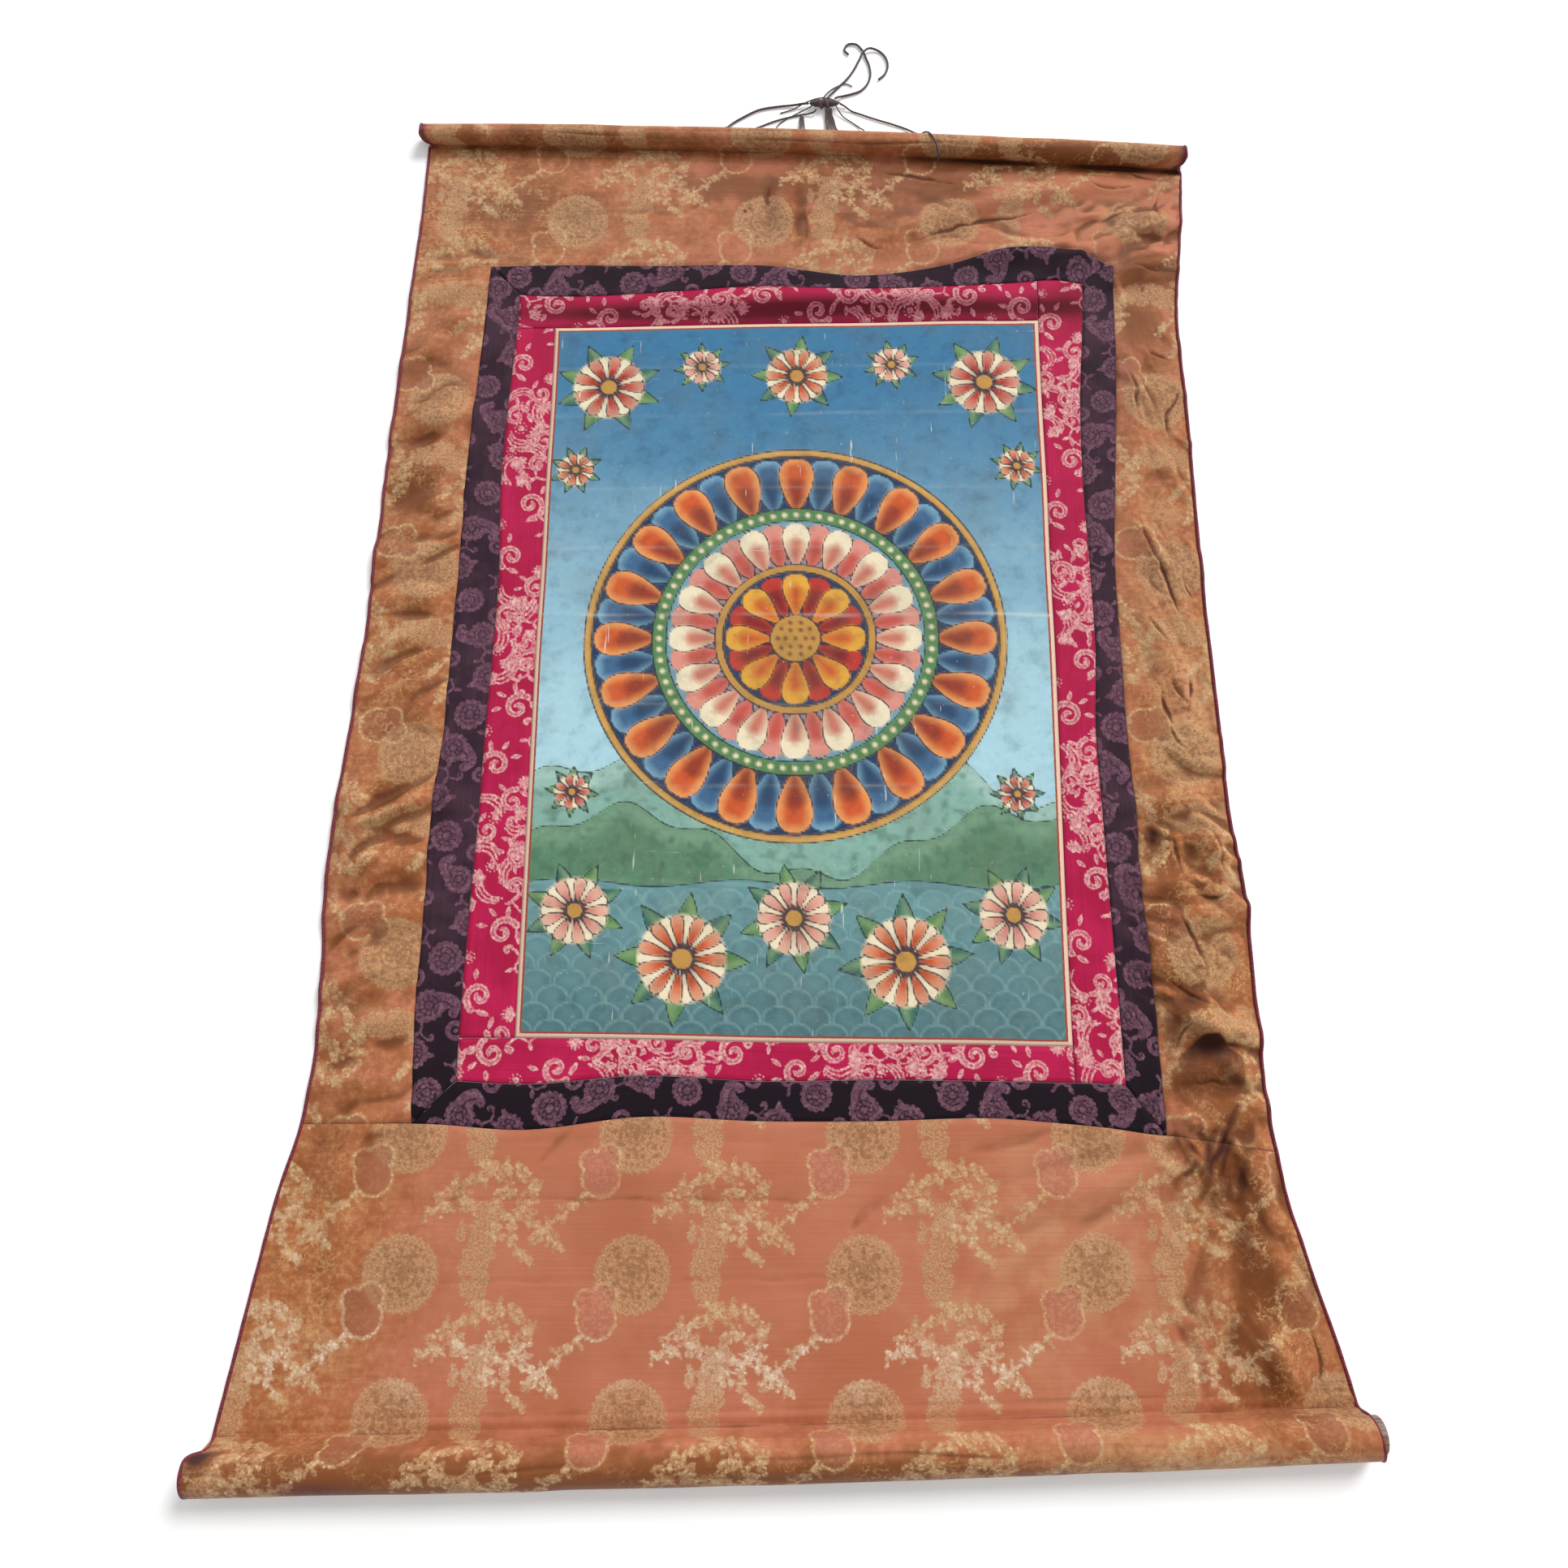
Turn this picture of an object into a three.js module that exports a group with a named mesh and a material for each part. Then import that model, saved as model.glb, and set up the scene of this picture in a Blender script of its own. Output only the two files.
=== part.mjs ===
// A hanging scroll laid out face up: a picture on cloth inside two rings of strips, sewn into a brocade
// mount that is flared below the picture, with a thin rod in a sleeve at the top and a roller at the foot.
// Millimetres, +Z up, the top rod towards +Y. The scroll rests on z = 0, centred on the origin.
import * as THREE from 'three';

// Cloth and seams
const CLOTH = 1.6; // thickness of every cloth sheet
const GAP = 0.5; // clear gap between two sewn neighbours
const FLAT_BELOW = 0.5; // fold heights under this press flat to the floor

// Rods and their sleeves. An axis runs from the left end to the right end and bows in the middle; turn is how
// many degrees of the rod its sleeve touches, from the stitch side over the top and round to the floor.
const ROD = { radius: 6.8, sleeve: 9, turn: 280, leftX: -316, rightX: 350, leftY: 537, rightY: 513, bow: 5.5 };
const ROLLER = { radius: 12.6, sleeve: 15, turn: 246, leftX: -391, rightX: 399, leftY: -531, rightY: -508.5, bow: -2.5 };
const ROD_SIDES = 16;
const ROD_SPANS = 12; // straight lengths that make up a bowed rod
const ROD_RECESS = 1; // how far the rod's ends sit inside its sleeve
const ROLLER_RECESS = 10; // how far the roller's left end sits inside its sleeve
const ROD_STITCH = 9.5; // from the rod's axis to the sleeve's stitch line
const ROLLER_STITCH = { left: 28, right: 22 }; // from the roller's axis to the stitch line
const STITCH_DEPTH = 2.5; // width of the sewn line where both layers meet
const SLEEVE_STEPS = 11;
const ROD_FLARE = { left: -8, right: 4 }; // how much further out the rod sleeve's ends reach underneath
const ROLLER_FLARE = { left: -17, right: 12 }; // the same for the roller's sleeve

// Piping on the side edges
const PIPING = 1.5; // radius
const PIPING_SIDES = 6;
const PIPING_WRAP = { top: 8, bottom: 9 }; // sleeve steps that the piping follows round each end
const PIPING_OFFSET = PIPING + 0.3; // piping centre to cloth edge
const PIPING_CLEARANCE = 0.4; // piping to the roller inside it

// Hanging cord
const CORD = 1.1; // radius of the cord
const THREAD = 0.9; // radius of the lashing thread
const CORD_SIDES = 8;
const CORD_STEP = 3; // diameters between two sections
const KNOT = { x: 36, y: 575, halfLength: 13, halfWidth: 5.5, halfHeight: 4 };

// Cells of each cloth grid
const CELLS = { side: 5, strip: 2, picture: 14, pictureDown: 22, top: 6, bottom: 8 };

// Lines that run down the scroll: x on each section, from the foot to the head.
const DOWN_LINES = [
  { y: -548, edgeL: -391, outerL: -265, innerL: -238, pictureL: -197, pictureR: 211, innerR: 248, outerR: 274, edgeR: 399 },
  { y: -503, edgeL: -384, outerL: -265, innerL: -238, pictureL: -197, pictureR: 211, innerR: 248, outerR: 274, edgeR: 391 },
  { y: -451, edgeL: -375, outerL: -265, innerL: -238, pictureL: -197, pictureR: 211, innerR: 248, outerR: 274, edgeR: 379 },
  { y: -404, edgeL: -367, outerL: -266, innerL: -238, pictureL: -197, pictureR: 211, innerR: 248, outerR: 274, edgeR: 365 },
  { y: -355, edgeL: -358, outerL: -267, innerL: -238, pictureL: -197, pictureR: 211, innerR: 248, outerR: 274, edgeR: 354 },
  { y: -308, edgeL: -346, outerL: -268, innerL: -238, pictureL: -197, pictureR: 211, innerR: 248, outerR: 274, edgeR: 347 },
  { y: -236, edgeL: -340, outerL: -271, innerL: -238, pictureL: -197, pictureR: 211, innerR: 247, outerR: 273, edgeR: 346 },
  { y: -140, edgeL: -344, outerL: -270, innerL: -236, pictureL: -197, pictureR: 212, innerR: 245, outerR: 269, edgeR: 345 },
  { y: -76, edgeL: -342, outerL: -270, innerL: -234, pictureL: -197, pictureR: 213, innerR: 244, outerR: 269, edgeR: 339 },
  { y: -11, edgeL: -337, outerL: -265, innerL: -233, pictureL: -197, pictureR: 214, innerR: 243, outerR: 267, edgeR: 338 },
  { y: 56, edgeL: -332, outerL: -264, innerL: -231, pictureL: -197, pictureR: 215, innerR: 247, outerR: 267, edgeR: 336 },
  { y: 126, edgeL: -329, outerL: -262, innerL: -230, pictureL: -196, pictureR: 215, innerR: 247, outerR: 267, edgeR: 335 },
  { y: 198, edgeL: -327, outerL: -262, innerL: -233, pictureL: -196, pictureR: 216, innerR: 246, outerR: 272, edgeR: 335 },
  { y: 273, edgeL: -324, outerL: -259, innerL: -231, pictureL: -195, pictureR: 216, innerR: 248, outerR: 278, edgeR: 335 },
  { y: 359, edgeL: -320, outerL: -255, innerL: -227, pictureL: -195, pictureR: 217, innerR: 255, outerR: 282, edgeR: 334 },
  { y: 407, edgeL: -318, outerL: -253, innerL: -227, pictureL: -195, pictureR: 218, innerR: 257, outerR: 283, edgeR: 339 },
  { y: 457, edgeL: -315, outerL: -253, innerL: -227, pictureL: -195, pictureR: 218, innerR: 257, outerR: 284, edgeR: 345 },
  { y: 532, edgeL: -314, outerL: -253, innerL: -227, pictureL: -195, pictureR: 218, innerR: 257, outerR: 285, edgeR: 351 },
];

// Lines that run across the scroll: y at each place, from the left edge to the right.
const CROSS_LINES = [
  { x: -347, outerT: 394, innerT: 382, pictureT: 347, pictureB: -246, innerB: -276, outerB: -308 },
  { x: -255, outerT: 407, innerT: 381, pictureT: 347, pictureB: -247, innerB: -277, outerB: -308 },
  { x: -187, outerT: 409, innerT: 378, pictureT: 347, pictureB: -247, innerB: -280, outerB: -312 },
  { x: -102, outerT: 408, innerT: 382, pictureT: 349, pictureB: -248, innerB: -274, outerB: -303 },
  { x: -18, outerT: 409, innerT: 388, pictureT: 351, pictureB: -250, innerB: -278, outerB: -306 },
  { x: 66, outerT: 399, innerT: 384, pictureT: 352, pictureB: -251, innerB: -277, outerB: -306 },
  { x: 150, outerT: 411, innerT: 388, pictureT: 354, pictureB: -252, innerB: -278, outerB: -304 },
  { x: 193, outerT: 422, innerT: 391, pictureT: 354, pictureB: -253, innerB: -279, outerB: -307 },
  { x: 235, outerT: 422, innerT: 394, pictureT: 355, pictureB: -253, innerB: -280, outerB: -311 },
  { x: 263, outerT: 418, innerT: 389, pictureT: 355, pictureB: -253, innerB: -283, outerB: -315 },
  { x: 283, outerT: 407, innerT: 387, pictureT: 355, pictureB: -253, innerB: -284, outerB: -317 },
  { x: 353, outerT: 399, innerT: 387, pictureT: 355, pictureB: -253, innerB: -284, outerB: -328 },
];

// Folds of the slack cloth: middle, half length and half width of each ridge, its rise, and its turn from +X.
const FOLDS = [
  // Top panel and the raised head of the strips
  { x: -218, y: 478, along: 70, across: 22, rise: 3.5, turn: 0 },
  { x: -282, y: 433, along: 26, across: 12, rise: 4, turn: 10 },
  { x: 0, y: 468, along: 28, across: 10, rise: 6, turn: 90 },
  { x: 138, y: 455, along: 95, across: 12, rise: 6, turn: 18 },
  { x: 208, y: 422, along: 60, across: 15, rise: 9, turn: 2 },
  { x: 245, y: 481, along: 80, across: 12, rise: 5, turn: 6 },
  { x: 311, y: 445, along: 30, across: 11, rise: 7, turn: 19 },
  { x: 308, y: 408, along: 30, across: 11, rise: 8, turn: 26 },
  { x: 55, y: 374, along: 150, across: 13, rise: 6, turn: 1 },
  // Left panel, puckered across its width
  { x: -289, y: 381, along: 34, across: 13, rise: 5, turn: 10 },
  { x: -296, y: 331, along: 40, across: 12, rise: 5, turn: 53 },
  { x: -296, y: 256, along: 38, across: 12, rise: 6, turn: 15 },
  { x: -296, y: 212, along: 38, across: 13, rise: 6.5, turn: 47 },
  { x: -304, y: 160, along: 38, across: 12, rise: 5, turn: 54 },
  { x: -297, y: 98, along: 36, across: 12, rise: 6, turn: 2 },
  { x: -301, y: 65, along: 36, across: 11, rise: 6, turn: 28 },
  { x: -308, y: 23, along: 30, across: 11, rise: 3.5, turn: 18 },
  { x: -306, y: -50, along: 38, across: 12, rise: 6.5, turn: 34 },
  { x: -310, y: -84, along: 36, across: 12, rise: 5, turn: 31 },
  { x: -310, y: -118, along: 40, across: 15, rise: 7, turn: 9 },
  { x: -307, y: -156, along: 40, across: 12, rise: 6, turn: 9 },
  { x: -316, y: -204, along: 34, across: 15, rise: 5.5, turn: 26 },
  { x: -306, y: -236, along: 38, across: 12, rise: 5, turn: 10 },
  { x: -307, y: -278, along: 38, across: 13, rise: 5, turn: 12 },
  // Right panel, long wrinkles above and deep crosswise folds below
  { x: 293, y: 271, along: 55, across: 10, rise: 5, turn: -92 },
  { x: 307, y: 114, along: 70, across: 11, rise: 5.5, turn: -69 },
  { x: 303, y: 48, along: 62, across: 11, rise: 5.5, turn: -72 },
  { x: 293, y: -70, along: 30, across: 13, rise: 8, turn: 12 },
  { x: 325, y: -109, along: 32, across: 11, rise: 9, turn: -73 },
  { x: 288, y: -133, along: 26, across: 12, rise: 7, turn: -9 },
  { x: 320, y: -158, along: 30, across: 11, rise: 7, turn: 4 },
  { x: 290, y: -190, along: 30, across: 15, rise: 7, turn: -20 },
  { x: 315, y: -238, along: 34, across: 14, rise: 13, turn: -13 },
  { x: 311, y: -272, along: 28, across: 11, rise: 8, turn: 0 },
  { x: 309, y: -301, along: 34, across: 12, rise: 9, turn: 8 },
  { x: 303, y: -335, along: 32, across: 10, rise: 9, turn: 55 },
  { x: 331, y: -350, along: 42, across: 12, rise: 10, turn: 68 },
  { x: 347, y: -409, along: 30, across: 16, rise: 8, turn: -59 },
  { x: 301, y: -425, along: 32, across: 12, rise: 8, turn: 66 },
  { x: 338, y: -460, along: 26, across: 15, rise: 7, turn: -60 },
  // Bottom panel
  { x: -317, y: -332, along: 32, across: 12, rise: 5, turn: 67 },
  { x: -309, y: -390, along: 26, across: 12, rise: 5, turn: 74 },
  { x: -37, y: -445, along: 120, across: 26, rise: 2.5, turn: 0 },
  { x: 218, y: -350, along: 60, across: 14, rise: 5, turn: 14 },
  { x: -96, y: -340, along: 110, across: 18, rise: 3, turn: 0 },
];

const lerp = THREE.MathUtils.lerp;
const radians = THREE.MathUtils.degToRad;

// Smooth curve through one named column of a table of lines.
function lineThrough(rows, key, name) {
  const places = rows.map((row) => row[key]);
  const values = rows.map((row) => row[name]);
  const curve = new THREE.CubicInterpolant(places, values, 1);
  return (place) => curve.evaluate(place)[0];
}

function linesOf(rows, key) {
  const names = Object.keys(rows[0]).filter((name) => name !== key);
  return Object.fromEntries(names.map((name) => [name, lineThrough(rows, key, name)]));
}

const down = linesOf(DOWN_LINES, 'y');
const cross = linesOf(CROSS_LINES, 'x');

// Height of the cloth's underside: the sum of soft ridges, pressed flat where it is low.
function lift(x, y) {
  let height = -FLAT_BELOW;
  for (const fold of FOLDS) {
    const angle = radians(fold.turn);
    const along = (x - fold.x) * Math.cos(angle) + (y - fold.y) * Math.sin(angle);
    const across = (y - fold.y) * Math.cos(angle) - (x - fold.x) * Math.sin(angle);
    height += fold.rise * Math.exp(-((along / fold.along) ** 2) - (across / fold.across) ** 2);
  }
  return Math.max(0, height);
}

// Point of the lying cloth where a down line and a cross line meet, found by a few passes.
function meeting(xAt, yAt, f, k) {
  let x = xAt(0, f, k);
  let y = 0;
  for (let pass = 0; pass < 6; pass++) {
    y = yAt(x, f, k);
    x = xAt(y, f, k);
  }
  return new THREE.Vector3(x, y, lift(x, y));
}

// Underside of a cloth: columns of points, f across the columns and k along each of them.
function layOut(xAt, yAt, columns, rows) {
  const grid = [];
  for (let i = 0; i <= columns; i++) {
    const column = [];
    for (let j = 0; j <= rows; j++) {
      column.push(meeting(xAt, yAt, i / columns, j / rows));
    }
    grid.push(column);
  }
  return grid;
}

function raised(point) {
  return new THREE.Vector3(point.x, point.y, point.z + CLOTH);
}

// Closed solid from the sections of a cloth. Each section runs over the face, round the sleeve if there is
// one, and back along the underside; the sleeve's bore is a second loop that turns the other way.
function clothGeometry(sections) {
  const points = [];
  const triangles = [];
  const place = (list) => list.map((point) => points.push(point) - 1);
  const quad = (a, b, c, d) => triangles.push(a, b, c, a, c, d);
  const rings = sections.map((section) => ({
    over: place(section.under.map(raised)),
    under: place(section.under),
    sleeve: place(section.sleeve ?? []),
    bore: place(section.bore ?? []),
  }));
  const joinLoops = (first, second) => {
    first.forEach((a, i) => {
      const next = (i + 1) % first.length;
      quad(a, first[next], second[next], second[i]);
    });
  };
  const outline = (ring) => [...ring.over, ...ring.sleeve, ...ring.under.slice().reverse()];
  for (let i = 0; i + 1 < rings.length; i++) {
    joinLoops(outline(rings[i]), outline(rings[i + 1]));
    if (rings[i].bore.length > 0) {
      joinLoops(rings[i].bore.slice().reverse(), rings[i + 1].bore.slice().reverse());
    }
  }
  const closeEnd = (ring, face) => {
    const last = ring.over.length - 1;
    for (let j = 0; j < last; j++) {
      face(ring.over[j], ring.over[j + 1], ring.under[j + 1], ring.under[j]);
    }
    if (ring.bore.length > 0) {
      const wall = [ring.over[last], ...ring.sleeve, ring.under[last]];
      const hole = [...ring.bore, ring.bore[0]];
      for (let j = 0; j + 1 < wall.length; j++) {
        face(wall[j], wall[j + 1], hole[j + 1], hole[j]);
      }
      face(ring.over[last], ring.bore[0], ring.under[last]);
    }
  };
  closeEnd(rings.at(-1), (a, b, c, d) => triangles.push(a, b, c, ...(d === undefined ? [] : [a, c, d])));
  closeEnd(rings[0], (a, b, c, d) => triangles.push(a, c, b, ...(d === undefined ? [] : [a, d, c])));
  const geometry = new THREE.BufferGeometry().setFromPoints(points);
  geometry.setIndex(triangles);
  geometry.computeVertexNormals();
  return geometry;
}

// Axis of a bowed rod at a given x, lying with its sleeve on the floor.
function axisY(rod, x) {
  const t = (x - rod.leftX) / (rod.rightX - rod.leftX);
  return lerp(rod.leftY, rod.rightY, t) + rod.bow * (1 - (2 * t - 1) ** 2);
}

// Point on a sleeve's ring, turned from 0 at the stitch side to 1 at the floor. The cloth lies on the side of
// the rod given by side: +1 where the rod is towards +Y of it, -1 towards -Y. A sleeve's end slants outward
// from the stitch, as the cloth's own edge does.
function ringPoint({ rod, side, x, flare }, turned, radius) {
  const angle = radians(rod.turn * (1 - turned) - 90);
  return new THREE.Vector3(
    x + flare * turned,
    axisY(rod, x) + side * radius * Math.cos(angle),
    rod.sleeve + radius * Math.sin(angle),
  );
}

function addSleeve(under, rod, side, ends) {
  const stitch = under.at(-1);
  const ring = { rod, side, x: stitch.x, flare: flareAt(rod, ends, stitch.x) };
  const sleeve = [];
  const bore = [new THREE.Vector3(stitch.x, stitch.y + side * STITCH_DEPTH, stitch.z + CLOTH)];
  for (let step = 0; step <= SLEEVE_STEPS; step++) {
    sleeve.push(ringPoint(ring, step / SLEEVE_STEPS, rod.sleeve));
    bore.push(ringPoint(ring, step / SLEEVE_STEPS, rod.sleeve - CLOTH));
  }
  return { under, sleeve, bore };
}

// Places along a run of seams: the first line to the next in so many cells, then on to the one after.
function marks(lines, cells) {
  const total = cells.reduce((sum, count) => sum + count, 0);
  return (place, t) => {
    let cell = t * total;
    let i = 0;
    while (i < cells.length - 1 && cell > cells[i]) {
      cell -= cells[i];
      i += 1;
    }
    return lerp(lines[i](place), lines[i + 1](place), cell / cells[i]);
  };
}

const HALF = GAP / 2;
const BETWEEN = 2 * CELLS.strip + CELLS.picture;
const DOWN = 2 * CELLS.strip + CELLS.pictureDown;
const ALL_ACROSS = 2 * CELLS.side + BETWEEN;
const acrossAll = marks([down.edgeL, down.outerL, down.outerR, down.edgeR], [CELLS.side, BETWEEN, CELLS.side]);

const topGrid = layOut(
  (y, f) => acrossAll(y, 1 - f),
  (x, f, k) => lerp(cross.outerT(x) + HALF, axisY(ROD, x) - ROD_STITCH, k),
  ALL_ACROSS,
  CELLS.top,
);

function rollerStitchY(x) {
  const t = (x - ROLLER.leftX) / (ROLLER.rightX - ROLLER.leftX);
  return axisY(ROLLER, x) + lerp(ROLLER_STITCH.left, ROLLER_STITCH.right, t);
}

// Slant of a sleeve's ring at a given x, shared out from one end of the rod to the other.
function flareAt(rod, ends, x) {
  return lerp(ends.left, ends.right, (x - rod.leftX) / (rod.rightX - rod.leftX));
}

const bottomGrid = layOut(
  acrossAll,
  (x, f, k) => lerp(cross.outerB(x) - HALF, rollerStitchY(x), k),
  ALL_ACROSS,
  CELLS.bottom,
);

// Four-sided cloth, half a gap inside the marks on its upper, lower, left and right seams.
function panelGrid({ upper, lower = upper, left, right = left, columns, rows }) {
  return layOut(
    (y, f, k) => lerp(upper(y, f), lower(y, f), k) + HALF * (1 - 2 * f),
    (x, f, k) => lerp(left(x, k), right(x, k), f) - HALF * (1 - 2 * k),
    columns,
    rows,
  );
}

const { side, strip, picture, pictureDown } = CELLS;
const acrossOuter = marks([down.outerL, down.outerR], [BETWEEN]);
const acrossInner = marks([down.innerL, down.pictureL, down.pictureR, down.innerR], [strip, picture, strip]);
const acrossHead = marks([down.innerL, down.pictureL, down.pictureR], [strip, picture]);
const downOuter = marks([cross.outerT, cross.outerB], [DOWN]);
const downInner = marks([cross.innerT, cross.pictureT, cross.pictureB, cross.innerB], [strip, pictureDown, strip]);
const downPicture = marks([cross.pictureT, cross.pictureB], [pictureDown]);
const stripAcross = (first, second) => marks([down[first], down[second]], [strip]);
const stripDown = (first, second) => marks([cross[first], cross[second]], [strip]);

const CLOTHS = {
  mount_left: { upper: marks([down.edgeL, down.outerL], [side]), left: downOuter, columns: side, rows: DOWN },
  mount_right: { upper: marks([down.outerR, down.edgeR], [side]), left: downOuter, columns: side, rows: DOWN },
  outer_strip_top: { upper: acrossOuter, lower: acrossInner, left: stripDown('outerT', 'innerT'),
    columns: BETWEEN, rows: strip },
  outer_strip_bottom: { upper: acrossInner, lower: acrossOuter, left: stripDown('innerB', 'outerB'),
    columns: BETWEEN, rows: strip },
  outer_strip_left: { upper: stripAcross('outerL', 'innerL'), left: downOuter, right: downInner,
    columns: strip, rows: DOWN },
  outer_strip_right: { upper: stripAcross('innerR', 'outerR'), left: downInner, right: downOuter,
    columns: strip, rows: DOWN },
  inner_strip_top: { upper: acrossHead, left: stripDown('innerT', 'pictureT'), columns: strip + picture, rows: strip },
  inner_strip_bottom: { upper: acrossHead, left: stripDown('pictureB', 'innerB'), columns: strip + picture,
    rows: strip },
  inner_strip_left: { upper: stripAcross('innerL', 'pictureL'), left: downPicture, columns: strip, rows: pictureDown },
  inner_strip_right: { upper: stripAcross('pictureR', 'innerR'), left: downInner, columns: strip, rows: DOWN },
  picture: { upper: marks([down.pictureL, down.pictureR], [picture]), left: downPicture, columns: picture,
    rows: pictureDown },
};

// Round section of a cord, piping or rod as a shape to sweep.
function roundSection(radius, sides) {
  const corners = [];
  for (let side = 0; side < sides; side++) {
    const angle = (2 * Math.PI * side) / sides;
    corners.push(new THREE.Vector2(radius * Math.cos(angle), radius * Math.sin(angle)));
  }
  return new THREE.Shape(corners);
}

function sweep(points, radius, sides, steps) {
  const path = new THREE.CatmullRomCurve3(points);
  return new THREE.ExtrudeGeometry(roundSection(radius, sides), { steps, bevelEnabled: false, extrudePath: path });
}

function woodenRod(rod, leftX, rightX) {
  const points = [];
  for (let span = 0; span <= ROD_SPANS; span++) {
    const x = lerp(leftX, rightX, span / ROD_SPANS);
    points.push(new THREE.Vector3(x, axisY(rod, x), rod.sleeve));
  }
  return sweep(points, rod.radius, ROD_SIDES, ROD_SPANS);
}

// Piping down one edge: over the end of the top sleeve, along the cloth and round the end of the roller sleeve.
function pipingPath(top, middle, bottom, side) {
  const headX = top[0].x;
  const footX = bottom.at(-1).x;
  const head = { rod: ROD, side: 1, x: headX, flare: flareAt(ROD, ROD_FLARE, headX) };
  const foot = { rod: ROLLER, side: -1, x: footX, flare: flareAt(ROLLER, ROLLER_FLARE, footX) };
  const footReach = ROLLER.radius + PIPING + PIPING_CLEARANCE;
  const points = [];
  for (let step = PIPING_WRAP.top; step >= 0; step--) {
    points.push(ringPoint(head, step / SLEEVE_STEPS, ROD.sleeve - CLOTH / 2));
  }
  for (const point of [...top, ...middle.slice(1, -1), ...bottom]) {
    points.push(new THREE.Vector3(point.x, point.y, point.z + PIPING_OFFSET));
  }
  for (let step = 0; step <= PIPING_WRAP.bottom; step++) {
    points.push(ringPoint(foot, step / SLEEVE_STEPS, footReach));
  }
  return points.map((point) => new THREE.Vector3(point.x + side * PIPING_OFFSET, point.y, point.z));
}

// Round tube with a section at every point of a path that never runs straight across the scroll.
function tube(points, radius, sides) {
  const corners = [];
  const triangles = [];
  let across = new THREE.Vector3(1, 0, 0);
  points.forEach((point, i) => {
    const next = points[Math.min(i + 1, points.length - 1)];
    const ahead = next.clone().sub(points[Math.max(i - 1, 0)]).normalize();
    across = across.clone().addScaledVector(ahead, -across.dot(ahead)).normalize();
    const up = ahead.clone().cross(across);
    for (let corner = 0; corner < sides; corner++) {
      const angle = (2 * Math.PI * corner) / sides;
      const out = across.clone().multiplyScalar(Math.cos(angle)).addScaledVector(up, Math.sin(angle));
      corners.push(point.clone().addScaledVector(out, radius));
    }
  });
  const last = (points.length - 1) * sides;
  for (let corner = 0; corner < sides; corner++) {
    const beside = (corner + 1) % sides;
    for (let start = 0; start < last; start += sides) {
      const end = start + sides;
      triangles.push(start + corner, start + beside, end + beside, start + corner, end + beside, end + corner);
    }
    if (corner > 0 && beside > 0) {
      triangles.push(0, beside, corner, last, last + corner, last + beside);
    }
  }
  const geometry = new THREE.BufferGeometry().setFromPoints(corners);
  geometry.setIndex(triangles);
  geometry.computeVertexNormals();
  return geometry;
}

// Cord routes by hand: strands from the back of the top sleeve to the knot, lashings and two free ends.
const CORD_ROUTES = {
  cord_left: { radius: CORD, route: [[-52, 541.9, 8], [-52, 544, 7.8], [-50, 550, 3.5], [-45, 556.5, 1.4],
    [-37, 562, 1.4], [-23, 570, 1.4], [-4, 574, 1.4], [9, 575, 2], [18, 575, 3.8], [22.6, 575, 4.2]] },
  cord_slack: { radius: THREAD, route: [[-26, 541.1, 8], [-26, 543.2, 7.8], [-25, 548, 4], [-20, 553, 1.2],
    [-9, 558, 1.2], [3, 562, 1.2], [14, 564.8, 1.2], [23, 566, 2], [28, 567.2, 3.8], [29, 569.5, 4.2]] },
  cord_right: { radius: THREAD, route: [[49.4, 575, 4.2], [53, 573.5, 3.4], [60, 569.5, 1.2], [68, 566, 1.2],
    [83, 560, 1.2], [97, 555, 1.2], [109, 550, 1.2], [117, 544, 3], [121, 538.5, 8], [124, 536, 13],
    [127, 531.5, 17.5], [130, 525.5, 19.3], [133, 519.5, 17.8], [135, 515.3, 13], [136, 513.4, 7], [136, 512.4, 3.6]] },
  cord_tie_left: { radius: THREAD, route: [[16, 539.7, 8], [16, 542, 7.8], [16, 549, 4], [16, 557, 1.4],
    [16, 563.8, 1.2]] },
  cord_tie_right: { radius: THREAD, route: [[43, 538.7, 8], [43, 541, 7.8], [42.5, 548, 4], [41.5, 557, 1.4],
    [40.5, 564.5, 2.4], [40, 569.8, 4.2]] },
  cord_loop_left: { radius: CORD, route: [[39, 579.9, 4.2], [39.8, 582.5, 3.4], [44, 589, 1.6], [50, 596, 1.4],
    [57, 604, 1.4], [63, 613.5, 1.4], [68, 623, 3], [72, 631, 4.4], [78, 636.5, 3], [86, 635, 1.4], [92, 628, 1.4],
    [94, 618, 1.4], [91, 609, 1.4], [85, 603, 1.4]] },
  cord_loop_right: { radius: CORD, route: [[45.5, 579.9, 4.2], [47.2, 582, 3.2], [53, 585, 1.6], [61, 587.5, 1.4],
    [69, 591, 1.4], [75, 598, 1.4], [78, 607, 1.4], [77.5, 617, 1.4], [74.5, 627, 1.4], [71, 636, 1.4],
    [65, 642.5, 1.4], [58, 642, 1.4], [55, 636, 1.4], [59, 630.5, 1.4]] },
};

function cord({ radius, route }) {
  const points = route.map(([x, y, z]) => new THREE.Vector3(x, y, z));
  const length = new THREE.CatmullRomCurve3(points).getLength();
  return sweep(points, radius, CORD_SIDES, Math.ceil(length / (2 * radius * CORD_STEP)));
}

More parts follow.
